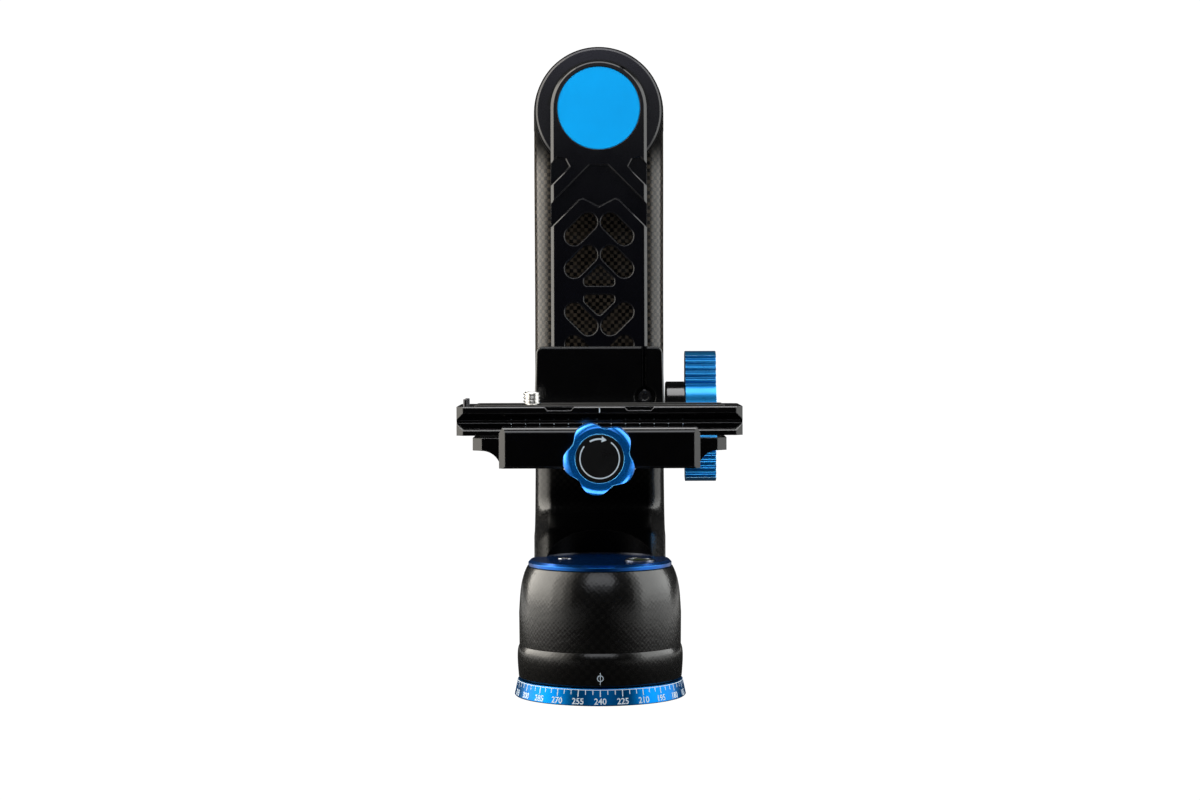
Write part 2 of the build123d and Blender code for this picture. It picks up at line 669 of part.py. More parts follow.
with BuildPart() as swing_arm:
    with BuildSketch(at_y(swing_front_y)):
        with Locations((0, tilt_z)):
            Circle(swing_head_r)
        with Locations((0, (tilt_z + swing_foot_z) / 2)):
            Rectangle(2 * swing_half_w, tilt_z - swing_foot_z)
        fillet(vertices().group_by(Axis.Y)[0], 4)
    extrude(amount=-(swing_back_y - swing_front_y))
    chamfer(swing_arm.edges().group_by(Axis.Y)[0], 1.1)
    chamfer(swing_arm.edges().group_by(Axis.Y)[-1], 0.6)
    # sunk ears and chevrons of the face, above and below the middle
    with BuildSketch(at_y(swing_front_y - 1)) as sunk:
        with Locations((0, tilt_z)):
            for side in (1, -1):
                with BuildLine():
                    Polyline(*[(side * x, tilt_z + z) for x, z in ear], close=True)
                make_face()
                with BuildLine():
                    Polyline(*[(side * x, tilt_z + 2 * mirror_dz - z) for x, z in ear], close=True)
                make_face()
            with BuildLine():
                Polyline(*[(x, tilt_z + z) for x, z in band], close=True)
            make_face()
            with BuildLine():
                Polyline(*[(x, tilt_z + 2 * mirror_dz - z) for x, z in band], close=True)
            make_face()
    extrude(amount=-2.2, mode=Mode.SUBTRACT)
    # lightening slots and triangles, right through
    with BuildSketch(at_y(swing_front_y - 1)) as windows:
        for x, z, turn in slots:
            with Locations(Location((x, tilt_z + z), turn)):
                SlotOverall(slot_len, slot_w)
        with BuildLine():
            Polyline((0, tilt_z - 58.2), (5.6, tilt_z - 63.6), (5.6, tilt_z - 66.1), (-5.6, tilt_z - 66.1),
                     (-5.6, tilt_z - 63.6), close=True)
        make_face()
        with BuildLine():
            Polyline((0, tilt_z - 77.4), (5.6, tilt_z - 72.0), (5.6, tilt_z - 69.5), (-5.6, tilt_z - 69.5),
                     (-5.6, tilt_z - 72.0), close=True)
        make_face()
        fillet(vertices().filter_by(lambda v: abs(abs(v.X) - 5.6) < 0.01 or abs(v.X) < 0.01), 1.1)
    extrude(amount=-14, mode=Mode.SUBTRACT)
    # broken edges of the sunk areas and the slots
    for outline in (sunk, windows):
        with BuildSketch(at_y(swing_front_y)):
            add(outline.sketch_local)
            offset(amount=0.35, kind=Kind.INTERSECTION)
        extrude(amount=-0.35, taper=45, mode=Mode.SUBTRACT)
    # badge pocket, bolt seat and spindle bore
    for r, y0, y1 in ((badge_r + 0.1, 36.5, 40.0), (7.0, 39.0, 42.8), (3.1, 42.0, 45.0), (7.9, 44.0, 50.0)):
        with BuildSketch(at_y(y0)):
            with Locations((0, tilt_z)):
                Circle(r)
        extrude(amount=-(y1 - y0), mode=Mode.SUBTRACT)
    # tapped holes for the stop plate
    with BuildSketch(Plane.XY.offset(swing_foot_z - 1)):
        with Locations((-11, 43.5), (11, 43.5)):
            Circle(1.25)
    extrude(amount=8.5, mode=Mode.SUBTRACT)
swing_arm.part.label = "swing_arm"
export_step(swing_arm.part, "parts/swing_arm.step")
print("swing_arm", swing_arm.part.is_valid, len(swing_arm.part.solids()), swing_arm.part.bounding_box())

with BuildPart() as swing_arm_bolt:
    with BuildSketch(at_y(40.3)):
        with Locations((0, tilt_z)):
            Circle(5.6)
    extrude(amount=-2.5)
    with BuildSketch(at_y(42.8)):
        with Locations((0, tilt_z)):
            Circle(3.0)
    extrude(amount=-16)
    with BuildSketch(at_y(40.3)):
        with Locations((0, tilt_z)):
            RegularPolygon(2.9, 6)
    extrude(amount=-1.6, mode=Mode.SUBTRACT)
swing_arm_bolt.part.label = "swing_arm_bolt"
export_step(swing_arm_bolt.part, "parts/swing_arm_bolt.step")

with BuildPart() as arm_badge:
    with BuildSketch(at_y(38.15)):
        with Locations((0, tilt_z)):
            Circle(badge_r)
    extrude(amount=-1.8)
    chamfer(arm_badge.edges().group_by(Axis.Y)[0], 0.25)
arm_badge.part.label = "arm_badge"
export_step(arm_badge.part, "parts/arm_badge.step")

with BuildPart() as height_stop_plate:
    with BuildSketch(Plane.XY.offset(78.9)):
        with Locations((0, 43.5)):
            RectangleRounded(43.0, 9.0, 2.0)
        with Locations((-11, 43.5), (11, 43.5)):
            Circle(1.55, mode=Mode.SUBTRACT)
    extrude(amount=swing_foot_z - 78.9)
height_stop_plate.part.label = "height_stop_plate"
export_step(height_stop_plate.part, "parts/height_stop_plate.step")

with BuildPart() as stop_plate_screws:
    with BuildSketch(Plane.XY.offset(77.3)):
        with Locations((-11, 43.5), (11, 43.5)):
            Circle(2.6)
    extrude(amount=1.6)
    with BuildSketch(Plane.XY.offset(78.9)):
        with Locations((-11, 43.5), (11, 43.5)):
            Circle(1.25)
    extrude(amount=9.0)
    with BuildSketch(Plane.XY.offset(77.3)):
        with Locations((-11, 43.5), (11, 43.5)):
            RegularPolygon(1.2, 6)
    extrude(amount=1.0, mode=Mode.SUBTRACT)
stop_plate_screws.part.label = "stop_plate_screws"
export_step(stop_plate_screws.part, "parts/stop_plate_screws.step")

# ==== carriage, sliding on the swing arm ========================================

with BuildPart() as carriage_block:
    with BuildSketch(at_y(block_front_y)):
        with BuildLine():
            Polyline((-24.4, block_foot_z), (24.4, block_foot_z), (23.3, block_top_z), (-23.3, block_top_z), close=True)
        make_face()
        fillet(vertices().group_by(Axis.Y)[-1], 2.6)
    extrude(amount=-(block_back_y - block_front_y))
    fillet(carriage_block.edges().group_by(Axis.Y)[0], 0.9)
    chamfer(carriage_block.edges().group_by(Axis.Y)[-1], 0.6)
    # channel for the swing arm, open at the back between two lips
    with BuildSketch(Plane.XY.offset(block_foot_z - 1)):
        with Locations((0, (swing_front_y + swing_back_y) / 2)):
            Rectangle(2 * swing_half_w + 0.16, swing_back_y - swing_front_y + 0.16)
        with Locations((0, 52)):
            Rectangle(24, 8)
    extrude(amount=45, mode=Mode.SUBTRACT)
    # sprung right jaw: a saw slit that ends in a round relief
    with BuildSketch(at_y(block_front_y - 1)):
        with Locations((16.45, 114.6)):
            Rectangle(1.2, 19.6)
    extrude(amount=-12.5, mode=Mode.SUBTRACT)
    with BuildSketch(at_y(block_front_y - 1)):
        with Locations((16.7, 104.8)):
            Circle(4.0)
    extrude(amount=-8.5, mode=Mode.SUBTRACT)
    # pocket for the clamping pad and the threaded way for its stud
    with BuildSketch(Plane.YZ.offset(18.2)):
        with Locations((lock_y, lock_z)):
            Rectangle(9.2, 12.6)
    extrude(amount=3.4, mode=Mode.SUBTRACT)
    with BuildSketch(Plane.YZ.offset(21.0)):
        with Locations((lock_y, lock_z)):
            Circle(3.05)
    extrude(amount=6, mode=Mode.SUBTRACT)
    # tapped holes for the clamp body
    with BuildSketch(at_y(block_front_y - 1)):
        with Locations((-14, 86.8), (14, 86.8)):
            Circle(2.5)
    extrude(amount=-9.5, mode=Mode.SUBTRACT)
carriage_block.part.label = "carriage_block"
export_step(carriage_block.part, "parts/carriage_block.step")
print("carriage_block", carriage_block.part.is_valid, len(carriage_block.part.solids()))

with BuildPart() as relief_screw:
    with BuildSketch(at_y(29.2)):
        with Locations((16.7, 104.8)):
            Circle(2.7)
    extrude(amount=-5.3)
    chamfer(relief_screw.edges().group_by(Axis.Y)[0], 0.4)
    with BuildSketch(at_y(29.2)):
        with Locations((16.7, 104.8)):
            RegularPolygon(1.45, 6)
    extrude(amount=-1.6, mode=Mode.SUBTRACT)
relief_screw.part.label = "relief_screw"
export_step(relief_screw.part, "parts/relief_screw.step")

with BuildPart() as height_brake_pad:
    with BuildSketch(Plane.YZ.offset(18.67)):
        with Locations((lock_y, lock_z)):
            Rectangle(8.9, 12.3)
    extrude(amount=2.6)
    chamfer(height_brake_pad.edges().group_by(Axis.X)[0], 0.3)
height_brake_pad.part.label = "height_brake_pad"
export_step(height_brake_pad.part, "parts/height_brake_pad.step")

with BuildPart() as height_lock_stud:
    with BuildSketch(Plane.YZ.offset(21.45)):
        with Locations((lock_y, lock_z)):
            Circle(3.0)
    extrude(amount=18.0)
    chamfer(height_lock_stud.edges().sort_by(Axis.X)[0], 0.5)
height_lock_stud.part.label = "height_lock_stud"
export_step(height_lock_stud.part, "parts/height_lock_stud.step")

with BuildPart() as height_knob_collar:
    with BuildSketch(Plane.YZ.offset(24.6)):
        with Locations((lock_y, lock_z)):
            Circle(12.9)
            Circle(3.0, mode=Mode.SUBTRACT)
    extrude(amount=31.9 - 24.6)
    chamfer(height_knob_collar.edges().filter_by(lambda e: e.length > 40), 0.4)
height_knob_collar.part.label = "height_knob_collar"
export_step(height_knob_collar.part, "parts/height_knob_collar.step")

with BuildPart() as height_knob:
    with BuildSketch(Plane.YZ.offset(31.9)):
        with Locations((lock_y, lock_z)):
            Circle(wing_hub_r)
        for turn in (0, 180):
            with BuildSketch(Plane.XY, mode=Mode.PRIVATE) as wing:
                with BuildLine():
                    right = Spline(*wing_edge(1))
                    left = Spline(*wing_edge(-1))
                    Line((0, 0), right @ 0)
                    Line((0, 0), left @ 0)
                    tip = ThreePointArc(right @ 1, (0, wing_tip), left @ 1)
                make_face()
            with Locations(Location((lock_y, lock_z), turn)):
                add(wing.sketch)
    extrude(amount=wing_len)
    with BuildSketch(Plane.YZ.offset(31.0)):
        with Locations((lock_y, lock_z)):
            Circle(3.0)
    extrude(amount=8.45, mode=Mode.SUBTRACT)
    with BuildSketch(Plane.YZ.offset(31.9 + wing_len)):
        with Locations((lock_y, lock_z)):
            Circle(8.0)
    extrude(amount=-1.0, mode=Mode.SUBTRACT)
height_knob.part.label = "height_knob"
export_step(height_knob.part, "parts/height_knob.step")

with BuildPart() as height_knob_cap:
    with BuildSketch(Plane.YZ.offset(31.9 + wing_len - 1.0)):
        with Locations((lock_y, lock_z)):
            Circle(7.95)
    extrude(amount=1.2)
    chamfer(height_knob_cap.edges().sort_by(Axis.X)[-1], 0.3)
height_knob_cap.part.label = "height_knob_cap"
export_step(height_knob_cap.part, "parts/height_knob_cap.step")

# ---- clamp ---------------------------------------------------------------------

with BuildPart() as clamp_body:
    with BuildSketch(at_y(-19.2)):
        with BuildLine():
            Polyline((0, 82.0), (-34.6, 82.0))
            ThreePointArc((-34.6, 82.0), (-36.7, 85.7), (-41.2, 87.4))
            Polyline((-41.2, 87.4), (-44.4, 87.4), (-44.4, 91.8), (0, 91.8))
            Line((0, 91.8), (0, 82.0))
        make_face()
        mirror(about=Plane.YZ)
    extrude(amount=-38.2)
    # front corners of the two shelves
    with BuildSketch(Plane.XY.offset(81)):
        for side in (1, -1):
            with BuildLine():
                Polyline((side * 41.0, -19.3), (side * 44.5, -15.8), (side * 44.5, -19.3), close=True)
            make_face()
    extrude(amount=12, mode=Mode.SUBTRACT)
    # raised floor under the plate
    with BuildSketch(Plane.XY.offset(91.7)):
        with Locations((0, -0.1)):
            Rectangle(69.4, 38.2)
    extrude(amount=0.87)
    # fixed rear jaw
    with BuildSketch(Plane.YZ):
        with BuildLine():
            Polyline((18.9, 82.0), (block_front_y, 82.0), (block_front_y, 96.1), (17.35, 96.1), (19.1, 94.35),
                     (19.1, 92.5), (18.9, 92.5), close=True)
        make_face()
    extrude(amount=29.5, both=True)
    # screw thread, guide pin and spring pockets, and the mounting screws' ways
    for pts, r, y0, y1 in (([(0, knob_z)], 3.56, -20, 10), ([(-27, 86.8), (27, 86.8)], 2.5, -12, -1),
                           ([(-27, 86.8), (27, 86.8)], 4.2, -20, -10), ([(-14, 86.8), (14, 86.8)], 4.3, -20, 16),
                           ([(-14, 86.8), (14, 86.8)], 2.7, 15, 28)):
        with BuildSketch(at_y(y0)):
            with Locations(*pts):
                Circle(r)
        extrude(amount=-(y1 - y0), mode=Mode.SUBTRACT)
clamp_body.part.label = "clamp_body"
export_step(clamp_body.part, "parts/clamp_body.step")
print("clamp_body", clamp_body.part.is_valid, len(clamp_body.part.solids()))

with BuildPart() as clamp_mounting_screws:
    with BuildSketch(at_y(11.0)):
        with Locations((-14, 86.8), (14, 86.8)):
            Circle(4.2)
    extrude(amount=-5.0)
    with BuildSketch(at_y(16.0)):
        with Locations((-14, 86.8), (14, 86.8)):
            Circle(2.5)
    extrude(amount=-19.0)
    with BuildSketch(at_y(11.0)):
        with Locations((-14, 86.8), (14, 86.8)):
            RegularPolygon(2.3, 6)
    extrude(amount=-2.6, mode=Mode.SUBTRACT)
clamp_mounting_screws.part.label = "clamp_mounting_screws"
export_step(clamp_mounting_screws.part, "parts/clamp_mounting_screws.step")

with BuildPart() as clamp_guide_pins:
    with BuildSketch(at_y(-29.5)):
        with Locations((-27, 86.8), (27, 86.8)):
            Circle(2.5)
    extrude(amount=-28.5)
clamp_guide_pins.part.label = "clamp_guide_pins"
export_step(clamp_guide_pins.part, "parts/clamp_guide_pins.step")

with BuildPart() as clamp_springs:
    for x in (-27, 27):
        with BuildLine():
            coil = Helix(pitch=1.42, height=8.2, radius=3.4, center=(x, -18.7, 86.8), direction=(0, 1, 0))
        with BuildSketch(Plane(origin=coil @ 0, z_dir=coil % 0)):
            Circle(0.36)
        sweep(path=coil, is_frenet=True)
clamp_springs.part.label = "clamp_springs"
export_step(clamp_springs.part, "parts/clamp_springs.step")
print("springs", clamp_springs.part.is_valid, len(clamp_springs.part.solids()), clamp_springs.part.volume)

with BuildPart() as front_jaw:
    with BuildSketch(Plane.YZ):
        with BuildLine():
            Polyline((jaw_front_y, 81.8), (-19.25, 81.8), (-19.25, 92.62), (-19.1, 92.62), (-19.1, 94.35),
                     (-17.35, 96.1), (jaw_front_y, 96.1), close=True)
        make_face()
        fillet(vertices().sort_by(lambda v: (v.X - jaw_front_y) ** 2 + (v.Y - 96.1) ** 2)[0], 2.2)
        chamfer(vertices().sort_by(lambda v: (v.X - jaw_front_y) ** 2 + (v.Y - 81.8) ** 2)[0], 0.7)
    extrude(amount=jaw_half_x, both=True)
    # cut ends: front corners in plan, top corners in elevation
    with BuildSketch(Plane.XY.offset(81)):
        for side in (1, -1):
            with BuildLine():
                Polyline((side * (jaw_half_x - 2.2), jaw_front_y - 0.1), (side * (jaw_half_x + 0.1), jaw_front_y - 0.1),
                         (side * (jaw_half_x + 0.1), jaw_front_y + 2.2), close=True)
            make_face()
    extrude(amount=16, mode=Mode.SUBTRACT)
    with BuildSketch(at_y(jaw_front_y - 1)):
        for side in (1, -1):
            with BuildLine():
                Polyline((side * (jaw_half_x - 1.4), 96.2), (side * (jaw_half_x + 0.1), 96.2),
                         (side * (jaw_half_x + 0.1), 93.6), close=True)
            make_face()
    extrude(amount=-16, mode=Mode.SUBTRACT)
    for pts, r, y0, y1 in (([(0, knob_z)], 3.65, -32, -18), ([(-27, 86.8), (27, 86.8)], 2.58, -30, -18)):
        with BuildSketch(at_y(y0)):
            with Locations(*pts):
                Circle(r)
        extrude(amount=-(y1 - y0), mode=Mode.SUBTRACT)
front_jaw.part.label = "front_jaw"
export_step(front_jaw.part, "parts/front_jaw.step")
print("front_jaw", front_jaw.part.is_valid, len(front_jaw.part.solids()))

with BuildPart() as clamp_screw:
    with BuildSketch(at_y(-40.0)):
        with Locations((0, knob_z)):
            Circle(3.5)
    extrude(amount=-45.0)
    chamfer(clamp_screw.edges().sort_by(Axis.Y)[-1], 0.6)
clamp_screw.part.label = "clamp_screw"
export_step(clamp_screw.part, "parts/clamp_screw.step")

with BuildPart() as clamp_knob:
    with BuildSketch(at_y(-43.0)):
        with BuildLine():
            Spline(*[(x, z + knob_z) for x, z in lobe_points(12.6, 2.3, 5, math.radians(-27.2), 1.5)], periodic=True)
        make_face()
    extrude(amount=-11.6)
    # turned shoulder, which leaves a round face ahead of the lobes
    with BuildSketch(Plane.YZ):
        with BuildLine():
            Polyline((-31.4, knob_z), (-31.4, knob_z + 11.9), (-32.2, knob_z + 12.7), (-40.2, knob_z + 12.7))
            ThreePointArc((-40.2, knob_z + 12.7), (-42.2, knob_z + 11.8), (-43.0, knob_z + 10.4))
            Polyline((-43.0, knob_z + 10.4), (-43.0, knob_z), (-31.4, knob_z))
        make_face()
    revolve(axis=Axis((0, 0, knob_z), (0, 1, 0)), mode=Mode.INTERSECT)
    for r, y0, y1 in ((8.3, -44, -41.8), (3.5, -40.0, -31)):
        with BuildSketch(at_y(y0)):
            with Locations((0, knob_z)):
                Circle(r)
        extrude(amount=-(y1 - y0), mode=Mode.SUBTRACT)
clamp_knob.part.label = "clamp_knob"
export_step(clamp_knob.part, "parts/clamp_knob.step")
print("clamp_knob", clamp_knob.part.is_valid, len(clamp_knob.part.solids()))

with BuildPart() as clamp_knob_cap:
    with BuildSketch(at_y(-42.9)):
        with Locations((0, knob_z)):
            Circle(8.27)
    extrude(amount=-1.1)
    chamfer(clamp_knob_cap.edges().group_by(Axis.Y)[0], 0.25)
clamp_knob_cap.part.label = "clamp_knob_cap"
export_step(clamp_knob_cap.part, "parts/clamp_knob_cap.step")

# ---- lens plate ----------------------------------------------------------------

with BuildPart() as lens_plate:
    with BuildSketch(Plane.YZ):
        with BuildLine():
            Polyline((0, plate_z0), (plate_half_y, plate_z0), (plate_half_y, 94.3), (16.4, 96.9), (16.4, 97.9),
                     (plate_half_y, 100.5), (plate_half_y, plate_z1 - 0.35), (plate_half_y - 0.35, plate_z1), (0, plate_z1))
            Line((0, plate_z1), (0, plate_z0))
        make_face()
        mirror(about=Plane.YZ)
    extrude(amount=plate_half_x, both=True)
    # corners cut in plan
    with BuildSketch(Plane.XY.offset(92)):
        for sx in (1, -1):
            for sy in (1, -1):
                with BuildLine():
                    Polyline((sx * (plate_half_x - 2.4), sy * (plate_half_y + 0.1)), (sx * (plate_half_x + 0.1), sy * (plate_half_y + 0.1)),
                             (sx * (plate_half_x + 0.1), sy * (plate_half_y - 2.4)), close=True)
                make_face()
    extrude(amount=12, mode=Mode.SUBTRACT)
    # camera screw slots, wide below for the screw heads
    with BuildSketch(Plane.XY.offset(92)):
        with Locations((-25, 0), (25, 0)):
            SlotOverall(26, 6.9)
    extrude(amount=12, mode=Mode.SUBTRACT)
    with BuildSketch(Plane.XY.offset(92)):
        with Locations((-25, 0), (25, 0)):
            SlotOverall(32, 12.6)
    extrude(amount=5.2, mode=Mode.SUBTRACT)
    # grooves for the two pads
    with BuildSketch(Plane.XY.offset(plate_z1 - 0.8)):
        with Locations((0, -12.2), (0, 12.2)):
            RectangleRounded(88, 7.0, 1.5)
    extrude(amount=2, mode=Mode.SUBTRACT)
    # finger notches in the front top edge
    with BuildSketch(at_y(-19.2)):
        for x0 in (-18.6, 9.4):
            with BuildLine():
                Polyline((x0 - 0.9, 102.8), (x0 + 9.9, 102.8), (x0 + 8.6, 101.3), (x0 + 0.4, 101.3), close=True)
            make_face()
    extrude(amount=-1.3, mode=Mode.SUBTRACT)
    # tapped holes for the stop screws below and the pin on top
    with BuildSketch(Plane.XY.offset(92)):
        with Locations((-44.6, 0), (44.6, 0)):
            Circle(1.25)
    extrude(amount=6, mode=Mode.SUBTRACT)
    with BuildSketch(Plane.XY.offset(99)):
        with Locations((-47.4, -6), (-47.4, 6)):
            Circle(0.85)
    extrude(amount=5, mode=Mode.SUBTRACT)
lens_plate.part.label = "lens_plate"
export_step(lens_plate.part, "parts/lens_plate.step")
print("lens_plate", lens_plate.part.is_valid, len(lens_plate.part.solids()))

with BuildPart() as plate_pads:
    with BuildSketch(Plane.XY.offset(plate_z1 - 0.8)):
        with Locations((0, -12.2), (0, 12.2)):
            RectangleRounded(87.9, 6.9, 1.45)
    extrude(amount=1.15)
plate_pads.part.label = "plate_pads"
export_step(plate_pads.part, "parts/plate_pads.step")

with BuildPart() as plate_lens_pins:
    with BuildSketch(Plane.XY.offset(99)):
        with Locations((-47.4, -6), (-47.4, 6)):
            Circle(0.85)
    extrude(amount=6.1)
    chamfer(plate_lens_pins.edges().group_by(Axis.Z)[-1], 0.2)
plate_lens_pins.part.label = "plate_lens_pins"
export_step(plate_lens_pins.part, "parts/plate_lens_pins.step")

with BuildPart() as plate_stop_screws:
    with BuildSketch(Plane.XY.offset(91.95)):
        with Locations((-44.6, 0), (44.6, 0)):
            Circle(2.4)
    extrude(amount=plate_z0 - 91.95)
    with BuildSketch(Plane.XY.offset(plate_z0)):
        with Locations((-44.6, 0), (44.6, 0)):
            Circle(1.25)
    extrude(amount=4.8)
plate_stop_screws.part.label = "plate_stop_screws"
export_step(plate_stop_screws.part, "parts/plate_stop_screws.step")

with BuildPart() as camera_screw_washer:
    with BuildSketch(Plane.XY.offset(96.1)):
        with Locations((-24, 0)):
            Circle(6.0)
            Circle(3.24, mode=Mode.SUBTRACT)
    extrude(amount=1.0)
camera_screw_washer.part.label = "camera_screw_washer"
export_step(camera_screw_washer.part, "parts/camera_screw_washer.step")

with BuildPart() as camera_screw:
    with BuildSketch(Plane.XY.offset(93.3)):
        with Locations((-24, 0)):
            Circle(5.8)
    extrude(amount=2.75)
    with BuildSketch(Plane.XY.offset(96.05)):
        with Locations((-24, 0)):
            Circle(2.45)
    extrude(amount=102.9 - 96.05)
    with BuildSketch(Plane.XY.offset(102.9)):
        with Locations((-24, 0)):
            Circle(3.175)
    extrude(amount=107.5 - 102.9)
    with BuildSketch(Plane.XY.offset(93.3)):
        with Locations((-24, 0)):
            Rectangle(1.4, 9.0)
    extrude(amount=1.3, mode=Mode.SUBTRACT)
camera_screw.part.label = "camera_screw"
export_step(camera_screw.part, "parts/camera_screw.step")
print("parts written", len(os.listdir("parts")))
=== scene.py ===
import bpy
import bmesh
import math
from mathutils import Matrix, Vector


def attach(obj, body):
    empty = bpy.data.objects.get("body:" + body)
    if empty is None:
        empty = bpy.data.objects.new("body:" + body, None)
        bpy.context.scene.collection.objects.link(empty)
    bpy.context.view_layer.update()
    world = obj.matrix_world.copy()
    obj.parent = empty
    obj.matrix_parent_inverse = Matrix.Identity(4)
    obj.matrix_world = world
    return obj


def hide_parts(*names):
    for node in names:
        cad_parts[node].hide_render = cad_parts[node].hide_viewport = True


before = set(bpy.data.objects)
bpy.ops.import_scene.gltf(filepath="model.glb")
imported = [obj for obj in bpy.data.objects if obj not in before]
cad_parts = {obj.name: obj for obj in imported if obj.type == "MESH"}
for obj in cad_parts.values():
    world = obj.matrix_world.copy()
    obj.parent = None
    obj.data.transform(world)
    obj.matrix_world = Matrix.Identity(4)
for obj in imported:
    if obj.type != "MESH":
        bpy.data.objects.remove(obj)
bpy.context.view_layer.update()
scene = bpy.context.scene
MM = 0.001

# ------------------------------------------------------------------ node maths


class V:
    """A shader value that takes ordinary arithmetic."""

    def __init__(self, net, s):
        self.net, self.s = net, s

    def _m(self, op, *args):
        return self.net.math(op, self, *args)

    def __add__(self, o): return self._m("ADD", o)
    def __radd__(self, o): return self._m("ADD", o)
    def __sub__(self, o): return self._m("SUBTRACT", o)
    def __rsub__(self, o): return self.net.math("SUBTRACT", o, self)
    def __mul__(self, o): return self._m("MULTIPLY", o)
    def __rmul__(self, o): return self._m("MULTIPLY", o)
    def __truediv__(self, o): return self._m("DIVIDE", o)
    def __neg__(self): return self._m("MULTIPLY", -1.0)
    def abs(self): return self._m("ABSOLUTE")
    def fract(self): return self._m("FRACT")
    def floor(self): return self._m("FLOOR")
    def sqrt(self): return self._m("SQRT")
    def sin(self): return self._m("SINE")
    def cos(self): return self._m("COSINE")
    def sign(self): return self._m("SIGN")
    def gt(self, o): return self._m("GREATER_THAN", o)
    def lt(self, o): return self._m("LESS_THAN", o)
    def min(self, o): return self._m("MINIMUM", o)
    def max(self, o): return self._m("MAXIMUM", o)
    def mod(self, o): return self._m("FLOORED_MODULO", o)
    def pow(self, o): return self._m("POWER", o)
    def atan2(self, o): return self._m("ARCTAN2", o)

    def clamp(self):
        n = self.net.math("ADD", self, 0.0)
        n.s.node.use_clamp = True
        return n

    def pick(self, yes, no):
        """yes where this is 1, no where it is 0."""
        return no + self * (yes - no)


class Net:
    """A node material under construction, with lengths in millimetres."""

    def __init__(self, name, **uniform):
        self.m = bpy.data.materials.new(name)
        self.m.use_nodes = True
        self.t = self.m.node_tree
        self.t.nodes.clear()
        out = self.node("ShaderNodeOutputMaterial")
        self.b = self.node("ShaderNodeBsdfPrincipled")
        self.t.links.new(self.b.outputs[0], out.inputs[0])
        tc = self.node("ShaderNodeTexCoord")
        mm = self.node("ShaderNodeVectorMath")
        mm.operation = "SCALE"
        mm.inputs["Scale"].default_value = 1000.0
        self.t.links.new(tc.outputs["Object"], mm.inputs[0])
        self.co = mm.outputs[0]
        self.x, self.y, self.z = self.split(self.co)
        self.nx, self.ny, self.nz = self.split(tc.outputs["Normal"])
        for k, v in uniform.items():
            self.set(k.replace("_", " "), v)

    def node(self, kind):
        return self.t.nodes.new(kind)

    def wire(self, socket, v):
        if isinstance(v, V):
            self.t.links.new(v.s, socket)
        elif isinstance(v, bpy.types.NodeSocket):
            self.t.links.new(v, socket)
        else:
            socket.default_value = v

    def set(self, name, v):
        if isinstance(v, (tuple, list)) and len(v) == 3:
            v = (*v, 1.0)
        self.wire(self.b.inputs[name], v)

    def math(self, op, *args):
        n = self.node("ShaderNodeMath")
        n.operation = op
        for i, a in enumerate(args):
            self.wire(n.inputs[i], a)
        return V(self, n.outputs[0])

    def split(self, vec):
        n = self.node("ShaderNodeSeparateXYZ")
        self.t.links.new(vec, n.inputs[0])
        return [V(self, o) for o in n.outputs]

    def join(self, x, y, z):
        n = self.node("ShaderNodeCombineXYZ")
        for i, a in enumerate((x, y, z)):
            self.wire(n.inputs[i], a)
        return n.outputs[0]

    def noise(self, scale, detail=2.0, rough=0.5, vec=None, stretch=None):
        """Noise around 0.5; scale is in features per millimetre."""
        n = self.node("ShaderNodeTexNoise")
        n.inputs["Scale"].default_value = scale
        n.inputs["Detail"].default_value = detail
        n.inputs["Roughness"].default_value = rough
        vec = self.co if vec is None else vec
        if stretch is not None:
            s = self.node("ShaderNodeVectorMath")
            s.operation = "MULTIPLY"
            s.inputs[1].default_value = stretch
            self.t.links.new(vec, s.inputs[0])
            vec = s.outputs[0]
        self.t.links.new(vec, n.inputs["Vector"])
        return V(self, n.outputs["Fac"])

    def mix(self, fac, a, b):
        n = self.node("ShaderNodeMix")
        n.data_type = "RGBA"
        n.clamp_factor = True
        self.wire(n.inputs[0], fac)
        for socket, c in ((n.inputs[6], a), (n.inputs[7], b)):
            if isinstance(c, (tuple, list)) and len(c) == 3:
                c = (*c, 1.0)
            self.wire(socket, c)
        return n.outputs[2]

    def ramp(self, v, lo, hi):
        n = self.node("ShaderNodeMapRange")
        n.interpolation_type = "SMOOTHSTEP"
        self.wire(n.inputs["Value"], v)
        n.inputs["From Min"].default_value = lo
        n.inputs["From Max"].default_value = hi
        return V(self, n.outputs[0])

    def rounded(self, radius):
        """Normals that turn smoothly over every edge, for the small radius a real edge has."""
        n = self.node("ShaderNodeBevel")
        n.samples = 4
        n.inputs["Radius"].default_value = radius * MM
        return n.outputs[0]

    def edge(self, radius, lo=0.02, hi=0.25):
        """1 on edges, 0 on open faces."""
        n = self.node("ShaderNodeBevel")
        n.samples = 4
        n.inputs["Radius"].default_value = radius * MM
        g = self.node("ShaderNodeNewGeometry")
        d = self.node("ShaderNodeVectorMath")
        d.operation = "DOT_PRODUCT"
        self.t.links.new(n.outputs[0], d.inputs[0])
        self.t.links.new(g.outputs["Normal"], d.inputs[1])
        return self.ramp(1.0 - V(self, d.outputs["Value"]), lo, hi)

    def bump(self, height, depth, strength=1.0, normal=None):
        n = self.node("ShaderNodeBump")
        n.inputs["Strength"].default_value = strength
        n.inputs["Distance"].default_value = depth * MM
        self.wire(n.inputs["Height"], height)
        if normal is not None:
            self.t.links.new(normal, n.inputs["Normal"])
        self.t.links.new(n.outputs[0], self.b.inputs["Normal"])
        return n

    def coat_bump(self, height, depth, strength=1.0):
        """Unevenness of the lacquer alone."""
        n = self.node("ShaderNodeBump")
        n.inputs["Strength"].default_value = strength
        n.inputs["Distance"].default_value = depth * MM
        self.wire(n.inputs["Height"], height)
        self.t.links.new(n.outputs[0], self.b.inputs["Coat Normal"])


# ------------------------------------------------------------------ materials

